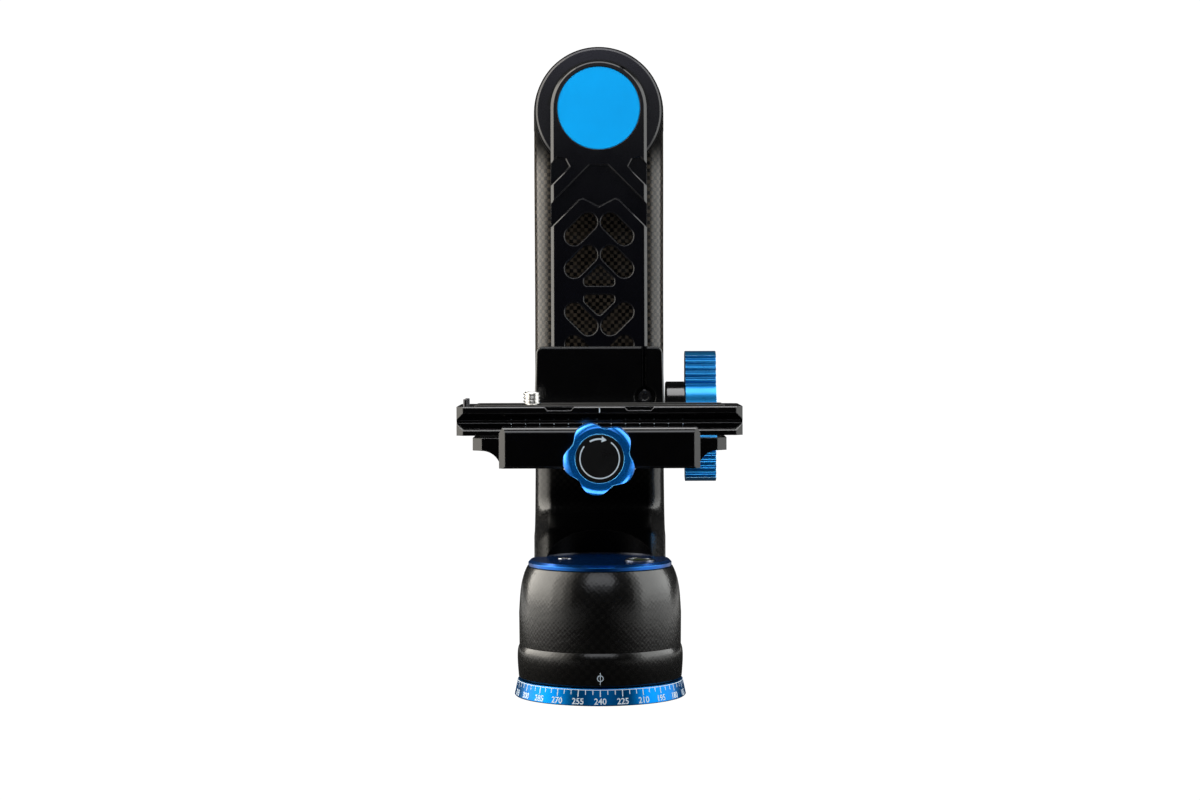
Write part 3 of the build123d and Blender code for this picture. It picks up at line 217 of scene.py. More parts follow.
CELL_DRUM, CELL_ARM = 1.75, 1.4


def weave_uv(net, kind):
    """Flat coordinates of the cloth on the drum or the arm."""
    x, y, z, nx, ny, nz = net.x, net.y, net.z, net.nx, net.ny, net.nz
    around = x.atan2(-y) * 28.8
    if kind == "drum":
        return around / CELL_DRUM, z / CELL_DRUM, None
    on_drum = z.lt(48.3) * (x * x + y * y).lt(29.8 ** 2)
    front = ny.lt(0.0)
    flat = front.pick(16.6, 17.6)
    turn = nx.abs().atan2(ny.abs())
    wrapped = x.abs().min(flat) + turn * front.pick(8.0, 7.0)
    u_face = x.sign() * wrapped
    side = nx.abs().gt(0.93)
    head = z.gt(212.0)
    rim = head * ny.abs().lt(0.35)
    u = side.pick(y, u_face)
    u = rim.pick(x.atan2(z - 212.0) * 24.6, u)
    v = rim.pick(y, z)
    flat_top = nz.abs().gt(0.8) * z.lt(100.0)
    v = flat_top.pick(y, v)
    return on_drum.pick(around / CELL_DRUM, u / CELL_ARM), on_drum.pick(z / CELL_DRUM, v / CELL_ARM), on_drum


def carbon(name, kind):
    net = Net(name, Coat_Roughness=0.19, Coat_IOR=1.5)
    cu, cv, on_drum = weave_uv(net, kind)
    wobble = net.noise(0.035, 2.0)
    cu, cv = cu + (wobble - 0.5) * 0.7, cv + (wobble - 0.5) * 0.5
    fu, fv = cu.fract(), cv.fract()
    odd = (cu.floor() + cv.floor()).mod(2.0)
    tu, tv = fu * 2.0 - 1.0, fv * 2.0 - 1.0
    warp = (1.0 - tu * tu * 0.6) * (0.55 + 0.45 * (fv * math.pi).sin())
    weft = (1.0 - tv * tv * 0.6) * (0.55 + 0.45 * (fu * math.pi).sin())
    h = odd.pick(warp, weft)
    strand_w = net.noise(1.0, 3.0, 0.7, vec=net.join(cu * 11.0, cv * 0.8, 0.0))
    strand_f = net.noise(1.0, 3.0, 0.7, vec=net.join(cu * 0.8, cv * 11.0, 3.0))
    strand = odd.pick(strand_w, strand_f)
    cell_tone = net.noise(1.0, 0.0, vec=net.join(cu.floor() * 3.7, cv.floor() * 3.7, 1.0))
    # one direction of the weave is painted lighter than the other: a painted sheen standing in for the fibres'
    # directional reflection, with random tone per cell and strand on top
    weave_tone_and_sheen = (odd * (0.25 + h * 0.45) + strand * 0.30 + cell_tone * 0.55 - 0.42).clamp()
    edge = net.edge(0.35)
    if on_drum is None:
        bright = (0.0062, 0.0059, 0.0055)
        net.set("Coat Weight", 0.95)
        net.set("Specular IOR Level", 0.06)
    else:
        # painted sheen: the arm's face is painted lighter up from the clamp, standing in for the side light its open
        # cloth catches; the moulded root stays dark
        upper_sheen = net.ramp(net.z, 100.0, 125.0)
        arm_cloth_and_sheen = net.mix(upper_sheen, (0.0090, 0.0084, 0.0078), (0.060, 0.049, 0.038))
        bright = net.mix(on_drum, arm_cloth_and_sheen, (0.0062, 0.0059, 0.0055))
        # painted shade: the root over the cap and the rim behind the hub are painted near black and lose most of their
        # lacquer and shine, but for the arm's flanks
        root = (1.0 - on_drum) * (1.0 - net.ramp(net.z, 66.0, 84.0)) * (1.0 - net.ramp(net.x.abs(), 18.1, 19.5))
        rim = net.ramp(net.z, 187.0, 201.0) * net.ramp(-net.ny, 0.10, 0.60)
        painted_shade_mask = root.max(rim)
        arm_coat = 0.95 - net.ramp(net.z, 59.0, 68.0) * 0.60 + net.ramp(net.z, 100.0, 130.0) * 0.17
        bright = net.mix(painted_shade_mask, bright, (0.0012, 0.0012, 0.0013))
        net.set("Coat Weight", on_drum.pick(0.95, arm_coat) * (1.0 - painted_shade_mask * 0.985))
        net.set("Specular IOR Level", 0.06 - painted_shade_mask * 0.05)
    cloth = net.mix(weave_tone_and_sheen, (0.0003, 0.0003, 0.0004), bright)
    # edges painted lighter grey: a painted highlight along the edges
    net.set("Base Color", net.mix(edge * 0.25, cloth, (0.035, 0.034, 0.033)))
    dirt = net.noise(0.12, 4.0, 0.6)
    net.set("Roughness", (0.42 - 0.10 * weave_tone_and_sheen + (dirt - 0.5) * 0.12))
    net.bump(h + strand * 0.10, 0.045, 0.5, net.rounded(0.3))
    turn = 2.0 * math.pi
    lacquer = (cu * turn).sin() * (cv * turn).sin() * 0.15 + net.noise(0.55, 1.5) * 1.0
    if on_drum is not None:
        # lacquer that runs over the drum's slight change of slope at z 29 and hides it
        reach = (7.0 - (net.z - 29.0).abs()).max(0.0)
        lacquer = lacquer - on_drum * reach * reach * 0.05
    net.coat_bump(lacquer, 0.045)
    return net.m


def anodised(name, base, light, rough, metallic=1.0, grain=0.02, turned=None, edge_r=0.3, edge_k=0.8,
             spec=0.5, deep=None, coat=0.0, round_r=0.25, coat_r=0.08, shade=None):
    """Anodised or painted metal: fine blasted grain, slow colour drift, and brighter edges that are partly wear and
    partly a painted highlight.
    """
    net = Net(name, Metallic=metallic, Specular_IOR_Level=spec, Coat_Weight=coat, Coat_Roughness=coat_r)
    drift = net.noise(0.05, 3.0, 0.6)
    fine = net.noise(6.0, 2.0, 0.6)
    edge = net.edge(edge_r)
    deep = deep or tuple(c * 0.72 for c in base)
    colour = net.mix(drift, deep, tuple(min(1.0, c * 1.22) for c in base))
    if shade:
        colour = shade(net, colour)
    # edges painted towards the light colour: a painted highlight along every edge, partly wear
    net.set("Base Color", net.mix(edge * edge_k, colour, light))
    smudge = net.noise(0.16, 5.0, 0.62)
    net.set("Roughness", (rough + (smudge - 0.5) * rough * 0.5 + (fine - 0.5) * 0.08 - edge * rough * 0.25))
    height = fine
    if turned == "z":
        lines = net.noise(1.0, 3.0, 0.7, vec=net.join(0.0, 0.0, net.z * 9.0))
        height = fine * 0.4 + lines
    elif turned:
        ox, oz, axis = turned
        a, b = {"y": (net.x - ox, net.z - oz), "x": (net.y - ox, net.z - oz), "v": (net.x - ox, net.y - oz)}[axis]
        r = (a * a + b * b).sqrt()
        lines = net.noise(1.0, 3.0, 0.7, vec=net.join(r * 8.0, 0.0, 0.0))
        height = fine * 0.4 + lines
    net.bump(height, grain, 0.5, net.rounded(round_r))
    return net.m


# the second colour is the painted highlight on the edges of the blue parts
BLUE, BLUE_EDGE_HIGHLIGHT = (0.004, 0.145, 0.60), (0.12, 0.52, 0.94)
MATS = {}


def mat(name, make):
    if name not in MATS:
        MATS[name] = make()
    return MATS[name]


def dress(node, material):
    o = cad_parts[node]
    o.data.materials.clear()
    o.data.materials.append(material)


cloth_arm = carbon("carbon_cloth_frame", "arm")
cloth_drum = carbon("carbon_cloth_skirt", "drum")
dress("carbon_frame", cloth_arm)
dress("drum_skirt", cloth_drum)

# the third argument of each anodised material is its painted edge highlight colour
blue_ring = anodised("blue_anodised_ring", (0.001, 0.145, 0.46), BLUE_EDGE_HIGHLIGHT, 0.31, metallic=0.97, turned="z", grain=0.005,
                     edge_k=0.5, spec=0.0)
blue_cap = anodised("blue_anodised_cap", (0.001, 0.085, 0.38), (0.10, 0.55, 1.0), 0.24, metallic=0.9, grain=0.003, edge_k=1.0,
                    spec=0.1, coat=0.3, coat_r=0.2)
blue_knob = anodised("blue_anodised_knobs", (0.002, 0.190, 0.72), (0.16, 0.62, 1.0), 0.26, metallic=0.8, grain=0.004,
                     edge_r=0.4, spec=0.1, coat=0.6, coat_r=0.15, round_r=0.4, edge_k=0.9)
blue_face = anodised("blue_anodised_height_knob", (0.015, 0.270, 0.66), (0.42, 0.78, 1.0), 0.30, metallic=0.9, grain=0.004,
                     edge_r=0.35, spec=0.1, coat=0.35, coat_r=0.15, edge_k=0.9)
dress("scale_ring", blue_ring)
dress("drum_cap", blue_cap)
for n in ("clamp_knob", "pan_knob", "tilt_knob"):
    dress(n, blue_knob)
dress("height_knob", blue_face)

black = anodised("black_anodised", (0.0016, 0.0017, 0.0030), (0.06, 0.06, 0.065), 0.15, metallic=0.0, grain=0.006, edge_k=0.6, spec=0.4)


def hub_shade(net, colour):
    """Painted shade: darker down the sides, black in the corner where the swing arm's head stands on the disc, and a
    black outer lip with little shine.
    """
    r = (net.x * net.x + (net.z - 212.0) * (net.z - 212.0)).sqrt()
    corner = net.z.gt(214.0) * net.ny.lt(-0.5) * (1.0 - net.ramp(r, 19.0, 19.6))
    low = 1.0 - net.ramp(net.z, 214.0, 232.0)
    colour = net.mix(low * 0.75, colour, (0.0016, 0.0016, 0.0030))
    lip = net.ny.lt(-0.2) * net.ramp(r, 23.55, 23.75)
    net.set("Specular IOR Level", 0.35 - lip * 0.33)
    corner = corner.max(lip)
    return net.mix(corner, colour, (0.0003, 0.0003, 0.0004))


black_turned = anodised("black_anodised_hub", (0.0085, 0.0085, 0.0150), (0.09, 0.09, 0.10), 0.28, metallic=0.0,
                        turned=(0.0, 212.0, "y"), grain=0.008, spec=0.35, edge_k=0.9, shade=hub_shade)
black_base = anodised("black_anodised_base", (0.008, 0.008, 0.009), (0.08, 0.08, 0.085), 0.32, metallic=0.0,
                      turned=(0.0, 0.0, "v"), grain=0.012, spec=0.6)


def arm_shade(net, colour):
    """Painted shade: the bevel round the swing arm's head is painted black on its outer half, over the top, with little
    shine.
    """
    r = (net.x * net.x + (net.z - 212.0) * (net.z - 212.0)).sqrt()
    lip = net.ramp(net.z, 219.0, 224.0) * net.ny.lt(-0.2) * net.ramp(r, 17.15, 17.35)
    net.set("Specular IOR Level", 0.4 - lip * 0.38)
    return net.mix(lip, colour, (0.0003, 0.0003, 0.0004))


dress("swing_arm", anodised("black_anodised_swing_arm", (0.0014, 0.0015, 0.0028), (0.06, 0.06, 0.065), 0.15, metallic=0.0,
                            grain=0.006, edge_k=0.6, spec=0.4, shade=arm_shade))
for n in ("height_stop_plate", "drum_core"):
    dress(n, black)
for n in ("tilt_hub", "hub_rear_cover", "tilt_knob_collar"):
    dress(n, black_turned)
dress("base_spindle", black_base)
cap_black = anodised("black_anodised_caps", (0.0030, 0.0030, 0.0035), (0.06, 0.06, 0.065), 0.30, metallic=0.0, grain=0.006, spec=0.5)
for n in ("clamp_knob_cap", "height_knob_cap"):
    dress(n, cap_black)

def gloss_shade(net, colour):
    """The sawn ends take less of the polish than the long faces."""
    end = net.ramp(net.nx.abs(), 0.25, 0.5)
    net.set("Specular IOR Level", 0.7 - end * 0.5)
    net.set("Coat Weight", 0.4 - end * 0.25)
    return colour


gloss = anodised("black_gloss", (0.0006, 0.0006, 0.0008), (0.13, 0.13, 0.145), 0.14, metallic=0.0, grain=0.003, edge_k=0.8,
                 spec=0.7, coat=0.4, round_r=0.35, edge_r=0.3, shade=gloss_shade)
for n in ("clamp_body", "front_jaw", "lens_plate", "height_knob_collar"):
    dress(n, gloss)


def block_shade(net, colour):
    """Painted shade: the saw cut beside the pinch screw is painted black, with no shine and no lacquer."""
    cut = (net.x - 16.45).abs().lt(1.1) * net.z.gt(100.0)
    net.set("Specular IOR Level", 0.4 - cut * 0.37)
    net.set("Coat Weight", 0.2 - cut * 0.2)
    return net.mix(cut, colour, (0.0003, 0.0003, 0.0004))


dress("carriage_block", anodised("black_gloss_block", (0.0006, 0.0006, 0.0008), (0.03, 0.03, 0.035), 0.16, metallic=0.0,
                                 grain=0.003, edge_k=0.3, spec=0.4, coat=0.2, round_r=0.35, shade=block_shade))

badge = anodised("badge_enamel", (0.0, 0.345, 0.86), (0.10, 0.50, 0.92), 0.40, metallic=0.0, grain=0.006,
                 deep=(0.0, 0.330, 0.83), edge_k=0.5, spec=0.12)
dress("arm_badge", badge)


def steel(name, turned=None, rough=0.24, base=(0.60, 0.60, 0.59)):
    # the near-white edge colour is a painted highlight on the edges, partly wear
    return anodised(name, base, (0.85, 0.85, 0.84), rough, turned=turned, grain=0.008, deep=tuple(c * 0.8 for c in base))


plain_steel = steel("steel_plain")
ball_steel = steel("steel_bearing", rough=0.10, base=(0.72, 0.72, 0.73))
for n in ("scale_ring_screws", "pan_bearing_spacer", "pan_retaining_nut", "cap_screws", "pan_lock_bush", "pan_lock_stud",
          "rear_cover_screws", "tilt_lock_stud", "tilt_spindle", "tilt_spacer", "tilt_spindle_nut", "swing_arm_bolt",
          "stop_plate_screws", "clamp_mounting_screws", "clamp_guide_pins", "clamp_springs",
          "height_lock_stud", "clamp_screw", "plate_stop_screws", "camera_screw_washer", "camera_screw"):
    dress(n, plain_steel)
for n in ("pan_bearing_inner_rings", "pan_bearing_outer_rings", "pan_bearing_balls", "tilt_bearing_inner_rings",
          "tilt_bearing_outer_rings", "tilt_bearing_balls"):
    dress(n, ball_steel)
dark_steel = steel("steel_blackened", rough=0.28, base=(0.05, 0.05, 0.055))
for n in ("relief_screw", "plate_lens_pins"):
    dress(n, dark_steel)
ring_steel = steel("steel_level_ring", rough=0.30, base=(0.10, 0.11, 0.13), turned=(14.1, -8.4, "v"))
dress("level_ring", ring_steel)
bronze = steel("bearing_bronze", rough=0.3, base=(0.50, 0.32, 0.14))
for n in ("tilt_brake_pad", "height_brake_pad"):
    dress(n, bronze)
nylon = anodised("black_acetal", (0.02, 0.02, 0.02), (0.05, 0.05, 0.05), 0.5, metallic=0.0, grain=0.01)
dress("pan_brake_shoe", nylon)


def rubber():
    net = Net("rubber_pads", Specular_IOR_Level=0.3)
    n = net.noise(2.2, 3.0, 0.7)
    cells = net.node("ShaderNodeTexVoronoi")
    cells.inputs["Scale"].default_value = 1.4
    net.t.links.new(net.co, cells.inputs["Vector"])
    d = V(net, cells.outputs["Distance"])
    net.set("Base Color", net.mix(n, (0.012, 0.012, 0.012), (0.035, 0.034, 0.033)))
    net.set("Roughness", 0.72 + (n - 0.5) * 0.25)
    net.bump(d + n * 0.4, 0.06, 0.6, net.rounded(0.3))
    return net.m


dress("plate_pads", rubber())


def vial():
    net = Net("vial_glass", Transmission_Weight=0.9, IOR=1.47, Specular_IOR_Level=0.5)
    n = net.noise(0.5, 2.0)
    dx, dy = net.x - 14.1 - 0.5, net.y + 8.4 - 0.35
    r = (dx * dx + dy * dy).sqrt()
    ring = net.ramp(r, 1.1, 1.25) * (1.0 - net.ramp(r, 1.35, 1.5))
    colour = net.mix(n, (0.42, 0.62, 0.10), (0.60, 0.80, 0.20))
    net.set("Base Color", net.mix(ring, colour, (0.03, 0.05, 0.02)))
    net.set("Roughness", 0.04 + n * 0.05)
    net.bump(n, 0.01, 0.2)
    return net.m


dress("level_vial", vial())


# ------------------------------------------------------------------ new pieces


def piece(name, mesh, material, body, smooth=False):
    o = bpy.data.objects.new(name, mesh)
    scene.collection.objects.link(o)
    mesh.materials.clear()
    mesh.materials.append(material)
    for p in mesh.polygons:
        p.use_smooth = smooth
    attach(o, body)
    return o


def mesh_of(bm, name):
    bmesh.ops.recalc_face_normals(bm, faces=bm.faces[:])
    m = bpy.data.meshes.new(name)
    bm.to_mesh(m)
    bm.free()
    return m


def slab(bm, outline, depth, place):
    """A closed thin solid: outline is (u, v) points, place(u, v, w) maps to space, w from 0 to depth."""
    lo = [bm.verts.new(place(u, v, 0.0)) for u, v in outline]
    hi = [bm.verts.new(place(u, v, depth)) for u, v in outline]
    n = len(outline)
    bm.faces.new(lo)
    bm.faces.new(hi[::-1])
    for i in range(n):
        j = (i + 1) % n
        bm.faces.new((lo[i], hi[i], hi[j], lo[j]))


def ring_slab(bm, r_in, r_out, depth, place, a0=0.0, a1=360.0, steps=72, centre=(0.0, 0.0)):
    full = abs(a1 - a0) >= 360
    n = steps if full else steps + 1
    rows = []
    for i in range(n):
        a = math.radians(a0 + (a1 - a0) * i / steps)
        c, s = math.cos(a), math.sin(a)
        rows.append([bm.verts.new(place(centre[0] + r * c, centre[1] + r * s, w))
                     for r, w in ((r_in, 0), (r_out, 0), (r_out, depth), (r_in, depth))])
    last = n if full else n - 1
    for i in range(last):
        a, b = rows[i], rows[(i + 1) % n]
        for k in range(4):
            bm.faces.new((a[k], a[(k + 1) % 4], b[(k + 1) % 4], b[k]))
    if not full:
        bm.faces.new(rows[0])
        bm.faces.new(rows[-1][::-1])


def text_mesh(text, height, weight=0.0):
    """Flat outline of generic numerals as a bmesh solid, centred, height in mm; z is depth 0..1."""
    c = bpy.data.curves.new("t_" + text, "FONT")
    c.body = text
    c.align_x, c.align_y = "CENTER", "CENTER"
    c.size = 1.0
    c.offset = weight
    c.resolution_u = 3
    o = bpy.data.objects.new("t_" + text, c)
    scene.collection.objects.link(o)
    bpy.context.view_layer.update()
    m = bpy.data.meshes.new_from_object(o.evaluated_get(bpy.context.evaluated_depsgraph_get()))
    bpy.data.objects.remove(o)
    bpy.data.curves.remove(c)
    bm = bmesh.new()
    bm.from_mesh(m)
    bpy.data.meshes.remove(m)
    bmesh.ops.remove_doubles(bm, verts=bm.verts[:], dist=1e-5)
    ys = [v.co.y for v in bm.verts]
    xs = [v.co.x for v in bm.verts]
    k = height / (max(ys) - min(ys))
    cy, cx = (max(ys) + min(ys)) / 2, (max(xs) + min(xs)) / 2
    for v in bm.verts:
        v.co.x, v.co.y, v.co.z = (v.co.x - cx) * k, (v.co.y - cy) * k, 0.0
    r = bmesh.ops.extrude_face_region(bm, geom=bm.faces[:])
    for v in r["geom"]:
        if isinstance(v, bmesh.types.BMVert):
            v.co.z = 1.0
    return bm


def absorb(dst, src, place):
    """Copies src into dst with place(x, y, z)."""
    table = {v: dst.verts.new(place(*v.co)) for v in src.verts}
    for f in src.faces:
        dst.faces.new([table[v] for v in f.verts])
    src.free()


def paint(name, lo, hi, rough=0.55):
    net = Net(name, Specular_IOR_Level=0.4)
    n = net.noise(1.2, 4.0, 0.65)
    net.set("Base Color", net.mix(n, lo, hi))
    net.set("Roughness", rough + (n - 0.5) * 0.2)
    net.bump(n, 0.01, 0.4)
    return net.m


white_paint = paint("paint_white", (0.62, 0.75, 0.88), (0.72, 0.84, 0.94))

RING_R0, RING_Z0, RING_R1, RING_Z1 = 30.45, 0.25, 29.3, 5.55
SLOPE = (RING_R1 - RING_R0) / (RING_Z1 - RING_Z0)


def on_ring(deg, proud=0.0):
    """Placer for the graduated cone: u is arc length towards +X at the front, v is height."""
    base = math.radians(deg)

    def place(u, v, w):
        r = RING_R0 + (v - RING_Z0) * SLOPE + proud + w
        a = base + u / 29.9
        return Vector((r * math.sin(a), -r * math.cos(a), v)) * MM
    return place


bm = bmesh.new()
for step in range(72):
    deg = step * 5.0                       # 0 at the front, growing to +X
    long_mark = step % 3 == 0
    length = 2.25 if long_mark else 1.55
    w = 0.18 if long_mark else 0.15
    slab(bm, [(-w, 5.42 - length), (w, 5.42 - length), (w, 5.42), (-w, 5.42)], 0.03, on_ring(deg, 0.004))
scale_ticks = piece("scale_ticks", mesh_of(bm, "scale_ticks"), white_paint, "base")

bm = bmesh.new()
for k in range(24):
    label = (240 - 15 * k) % 360
    absorb(bm, text_mesh(str(label), 2.1, 0.018), lambda x, y, z, p=on_ring(15.0 * k, 0.004): p(x, y + 1.62, z * 0.03))
scale_numbers = piece("scale_numbers", mesh_of(bm, "scale_numbers"), white_paint, "base")

# fine white line that closes the scale at the ring's upper edge
bm = bmesh.new()
rows = []
for i in range(240):
    p = on_ring(i * 1.5)
    rows.append([bm.verts.new(p(0.0, v, w)) for v, w in ((5.32, 0.004), (5.52, 0.004), (5.52, 0.03), (5.32, 0.03))])
for i in range(240):
    a, b = rows[i], rows[(i + 1) % 240]
    for k in range(4):
        bm.faces.new((a[k], a[(k + 1) % 4], b[(k + 1) % 4], b[k]))
scale_edge_line = piece("scale_edge_line", mesh_of(bm, "scale_edge_line"), white_paint, "base")

# reading mark on the skirt
SKIRT = [(6.7, 29.0), (10.5, 29.3), (13.6, 29.42), (15.4, 29.36)]


def skirt_r(z):
    for (z0, r0), (z1, r1) in zip(SKIRT, SKIRT[1:]):
        if z <= z1:
            return r0 + (r1 - r0) * (z - z0) / (z1 - z0)
    return SKIRT[-1][1]


def on_skirt(u, v, w):
    r = skirt_r(v) + 0.012 + w
    a = u / 29.3
    return Vector((r * math.sin(a), -r * math.cos(a), v)) * MM


bm = bmesh.new()
ring_slab(bm, 0.84, 1.16, 0.03, on_skirt, centre=(0.0, 9.35), steps=48)
slab(bm, [(-0.14, 7.15), (0.14, 7.15), (0.14, 11.35), (-0.14, 11.35)], 0.045, on_skirt)
reading_mark = piece("reading_mark", mesh_of(bm, "reading_mark"), white_paint, "frame")

# plate scale: marks every 5 mm on the dovetail's lower flank, and the centre line on the edge above

def on_lower_bevel(u, v, w):
    """v runs up the lower dovetail flank of the plate, from its outer edge."""
    k = v / math.hypot(2.6, 2.6)
    y, z = -19.0 + 2.6 * k, 94.3 + 2.6 * k
    n = Vector((0, -1, 1)).normalized()
    return (Vector((u, y, z)) + n * (0.006 + w)) * MM


bm = bmesh.new()
for i in range(-6, 7):
    x, w = 5 * i - 0.9, 0.16 if i % 2 == 0 else 0.12
    slab(bm, [(x - w, 3.1), (x + w, 3.1), (x + w, 3.42), (x - w, 3.42)], 0.02, on_lower_bevel)
plate_scale = piece("plate_scale", mesh_of(bm, "plate_scale"), white_paint, "plate")
bm = bmesh.new()
slab(bm, [(-0.18, 100.6), (0.18, 100.6), (0.18, 102.2), (-0.18, 102.2)], 0.02,
     lambda u, v, w: Vector((u, -19.0 - 0.006 - w, v)) * MM)
plate_centre_line = piece("plate_centre_line", mesh_of(bm, "plate_centre_line"), white_paint, "plate")

# clamp knob dial: a thin ring open at the top, where a turning arrow stands
DIAL_Z = 85.8


def on_dial(u, v, w):
    return Vector((u, -42.9 - 0.006 - w, DIAL_Z + v)) * MM


bm = bmesh.new()
ring_slab(bm, 6.48, 6.90, 0.025, on_dial, a0=141, a1=415, steps=120)
clamp_dial_ring = piece("clamp_dial_ring", mesh_of(bm, "clamp_dial_ring"), white_paint, "clamp_knob")
bm = bmesh.new()
ring_slab(bm, 6.38, 7.0, 0.025, on_dial, a0=84, a1=120, steps=24)
tip = [(7.75, 84), (5.6, 84), (6.68, 69)]
slab(bm, [(r * math.cos(math.radians(a)), r * math.sin(math.radians(a))) for r, a in tip], 0.025, on_dial)
clamp_dial_arrow = piece("clamp_dial_arrow", mesh_of(bm, "clamp_dial_arrow"), white_paint, "clamp_knob")


# camera screw with its real thread: 1/4 inch, 20 threads to the inch, above a plain shank and a slotted head
def thread_into(bm, z0, z1, r_major, pitch, depth, around=64, per=12):
    rows = []
    n = int((z1 - z0) / pitch * per)
    for j in range(n + 1):
        z = z0 + (z1 - z0) * j / n
        row = []
        for i in range(around):
            a = 2 * math.pi * i / around
            f = ((z - z0) / pitch - i / around) % 1.0
            tri = abs(f - 0.5) * 2
            r = r_major - depth * min(1.0, max(0.0, (tri - 0.10) / 0.80))
            r = min(r, r_major - 0.55 + max(0.0, (z1 - z)) * 1.0)
            r = min(r, r_major - 0.55 + max(0.0, (z - z0)) * 1.0)
            row.append(bm.verts.new((r * math.cos(a), r * math.sin(a), z)))
        rows.append(row)
    for a, b in zip(rows, rows[1:]):
        for i in range(around):
            k = (i + 1) % around
            bm.faces.new((a[i], a[k], b[k], b[i]))
    bm.faces.new(rows[0][::-1])
    bm.faces.new(rows[-1])


def revolve_into(bm, profile, around=64):
    rows = []
    for r, z in profile:
        if r == 0:
            rows.append([bm.verts.new((0, 0, z))])
        else:
            rows.append([bm.verts.new((r * math.cos(2 * math.pi * i / around), r * math.sin(2 * math.pi * i / around), z))
                         for i in range(around)])
    for a, b in zip(rows, rows[1:]):
        for i in range(around):
            k = (i + 1) % around
            if len(a) == 1:
                bm.faces.new((a[0], b[i], b[k]))
            elif len(b) == 1:
                bm.faces.new((a[i], b[0], a[k]))
            else:
                bm.faces.new((a[i], b[i], b[k], a[k]))


bright_steel = steel("steel_camera_screw", rough=0.22, base=(0.66, 0.65, 0.63))
bm = bmesh.new()
thread_into(bm, 102.9, 107.5, 3.175, 1.27, 0.62)
revolve_into(bm, [(0, 103.1), (2.45, 103.1), (2.45, 96.05), (5.8, 96.05), (5.8, 94.6), (0, 94.6)])
half = [(5.8 * math.cos(math.radians(t)), 5.8 * math.sin(math.radians(t))) for t in range(-83, 84, 2)]
for side in (1, -1):
    slab(bm, [(side * max(0.7, x), side * y) for x, y in half], 1.45, lambda u, v, w: Vector((u, v, 93.3 + w)))
for v in bm.verts:
    v.co = Vector((v.co.x - 24.0, v.co.y, v.co.z)) * MM
screw = piece("camera_screw_threaded", mesh_of(bm, "camera_screw_threaded"), bright_steel, "camera_screw")
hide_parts("camera_screw")

# ------------------------------------------------------------------ floor, light, camera

bm = bmesh.new()
bmesh.ops.create_grid(bm, x_segments=1, y_segments=1, size=6.0)
floor_mesh = bpy.data.meshes.new("floor")
bm.to_mesh(floor_mesh)
bm.free()
floor = bpy.data.objects.new("floor", floor_mesh)
scene.collection.objects.link(floor)
floor_mat = bpy.data.materials.new("floor_paper")
floor_mat.use_nodes = True
ft = floor_mat.node_tree
ft.nodes.clear()


def fnode(kind, **values):
    n = ft.nodes.new(kind)
    for k, v in values.items():
        n.inputs[k].default_value = v
    return n


f_out = fnode("ShaderNodeOutputMaterial")
f_mix = fnode("ShaderNodeMixShader")
f_path = fnode("ShaderNodeLightPath")
f_glow = fnode("ShaderNodeEmission", Color=(1, 1, 1, 1), Strength=1.05)
f_body = fnode("ShaderNodeBsdfDiffuse")
f_geo = fnode("ShaderNodeNewGeometry")
f_split = ft.nodes.new("ShaderNodeSeparateXYZ")
f_abs = ft.nodes.new("ShaderNodeMath")
f_abs.operation = "ABSOLUTE"
f_side = ft.nodes.new("ShaderNodeMapRange")
f_side.interpolation_type = "SMOOTHSTEP"
for k, v in (("From Min", 0.11), ("From Max", 0.34), ("To Min", 0.02), ("To Max", 0.80)):
    f_side.inputs[k].default_value = v
ft.links.new(f_geo.outputs["Position"], f_split.inputs[0])
ft.links.new(f_split.outputs["X"], f_abs.inputs[0])
ft.links.new(f_abs.outputs[0], f_side.inputs["Value"])
ft.links.new(f_side.outputs[0], f_body.inputs["Color"])
ft.links.new(f_path.outputs["Is Camera Ray"], f_mix.inputs[0])
ft.links.new(f_body.outputs[0], f_mix.inputs[1])
ft.links.new(f_glow.outputs[0], f_mix.inputs[2])
ft.links.new(f_mix.outputs[0], f_out.inputs[0])
floor_mesh.materials.append(floor_mat)

world = bpy.data.worlds.new("studio")
scene.world = world
world.use_nodes = True
wt = world.node_tree
wt.nodes.clear()
w_out = wt.nodes.new("ShaderNodeOutputWorld")
w_mix = wt.nodes.new("ShaderNodeMixShader")
w_path = wt.nodes.new("ShaderNodeLightPath")
w_seen = wt.nodes.new("ShaderNodeBackground")
w_seen.inputs[0].default_value = (1, 1, 1, 1)
w_seen.inputs[1].default_value = 1.05
w_fill = wt.nodes.new("ShaderNodeBackground")
w_fill.inputs[0].default_value = (1, 1, 1, 1)
w_fill.inputs[1].default_value = 0.02
wt.links.new(w_path.outputs["Is Camera Ray"], w_mix.inputs[0])
wt.links.new(w_fill.outputs[0], w_mix.inputs[1])
wt.links.new(w_seen.outputs[0], w_mix.inputs[2])
wt.links.new(w_mix.outputs[0], w_out.inputs[0])


def softbox(name, at, look, size, power, colour=(1, 1, 1)):
    light = bpy.data.lights.new(name, "AREA")
    light.shape = "RECTANGLE"
    light.size, light.size_y = size
    light.energy = power
    light.color = colour
    o = bpy.data.objects.new(name, light)
    scene.collection.objects.link(o)
    o.location = at
    d = Vector(look) - Vector(at)
    o.rotation_euler = d.to_track_quat("-Z", "Y").to_euler()
    return o


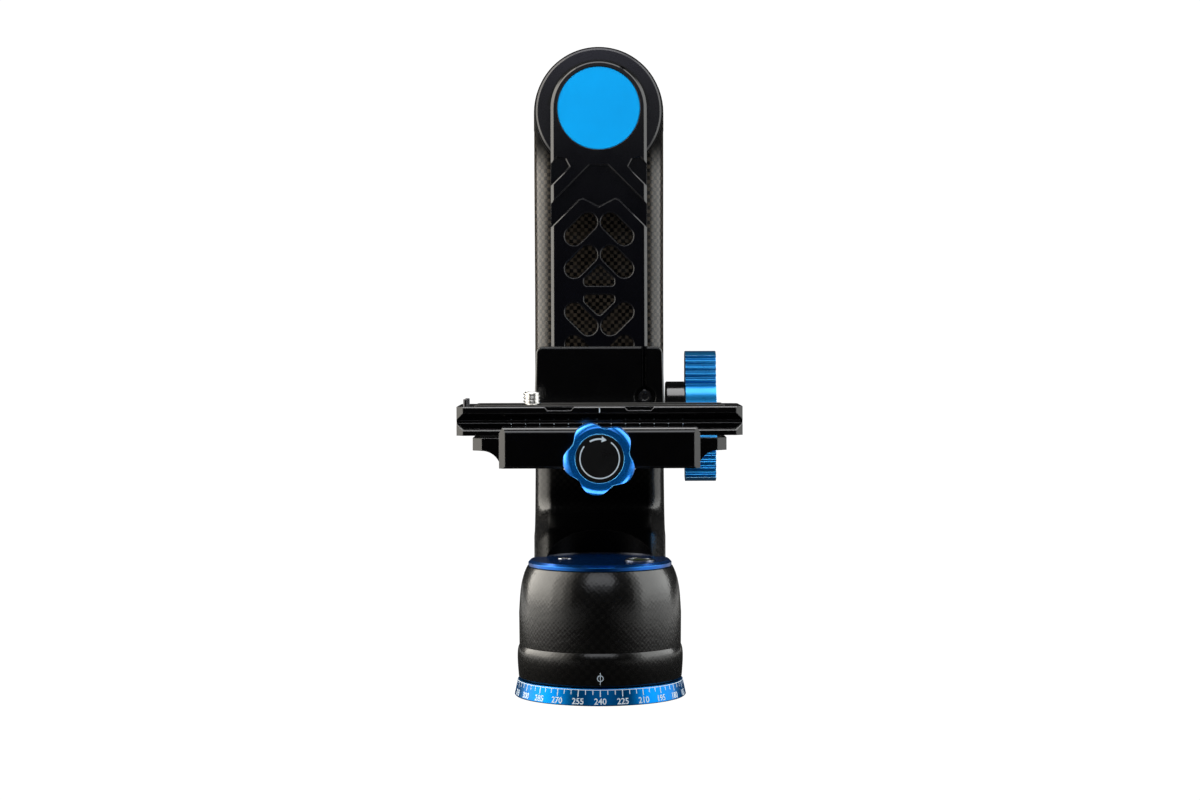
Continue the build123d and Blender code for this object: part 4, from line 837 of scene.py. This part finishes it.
def side_panel(name, x, y0, y1, radiance, colour):
    """A softbox standing on the floor beside the object, facing across it, dimmer towards its foot."""
    for k, (z0, z1, part) in enumerate(((0.004, 0.016, 0.22), (0.016, 0.03, 0.40), (0.03, 0.06, 0.66), (0.06, 0.10, 0.86), (0.10, 0.92, 1.0))):
        y, z, area = (y0 + y1) / 2, (z0 + z1) / 2, (y1 - y0) * (z1 - z0)
        softbox(f"{name}_{k}", (x, y, z), (0.0, y, z), (y1 - y0, z1 - z0), math.pi * radiance * part * area, colour)


WARM, COOL = (1.0, 0.955, 0.87), (0.99, 1.0, 0.98)
side_panel("key_left", -0.36, -0.13, 0.26, 6.1, WARM)
side_panel("key_left_fade", -0.36, -0.26, -0.13, 2.9, WARM)
side_panel("key_left_edge", -0.36, -0.40, -0.26, 0.9, WARM)
side_panel("fill_right", 0.42, -0.24, 0.24, 3.7, COOL)
side_panel("fill_right_edge", 0.42, -0.36, -0.24, 1.1, COOL)
softbox("front_high", (0.0, -0.95, 0.78), (0, 0, 0.78), (0.8, 0.64), 3.4, (0.94, 0.96, 1.0))
softbox("front_low", (0.0, -0.95, 0.38), (0, 0, 0.38), (0.6, 0.16), 0.18, (0.90, 0.93, 1.0))
softbox("top", (0.0, 0.05, 1.15), (0, 0.05, 0.1), (0.9, 0.6), 6.5)

# a card of light on the floor in front, flagged off everything but the two knobs over it
kicker = softbox("kicker", (0.02, -0.055, 0.003), (0.02, -0.055, 0.2), (0.20, 0.08), 0.20)
flagged = bpy.data.collections.new("kicker_receivers")
for n in ("clamp_knob", "height_knob"):
    flagged.objects.link(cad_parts[n])
kicker.light_linking.receiver_collection = flagged

cam_data = bpy.data.cameras.new("camera")
cam_data.lens = 73.35
cam_data.sensor_width = 36.0
cam_data.shift_x = 0.0006
cam_data.shift_y = -0.0583
cam_data.clip_start = 0.01
cam = bpy.data.objects.new("camera", cam_data)
scene.collection.objects.link(cam)
cam.location = (0.0, -0.871, 0.1294)
cam.rotation_euler = (math.radians(90), math.radians(0.17), 0)
scene.camera = cam
scene.view_settings.view_transform = "Standard"
scene.view_settings.look = "None"
scene.view_settings.exposure = 0.0
scene.view_settings.gamma = 1.0
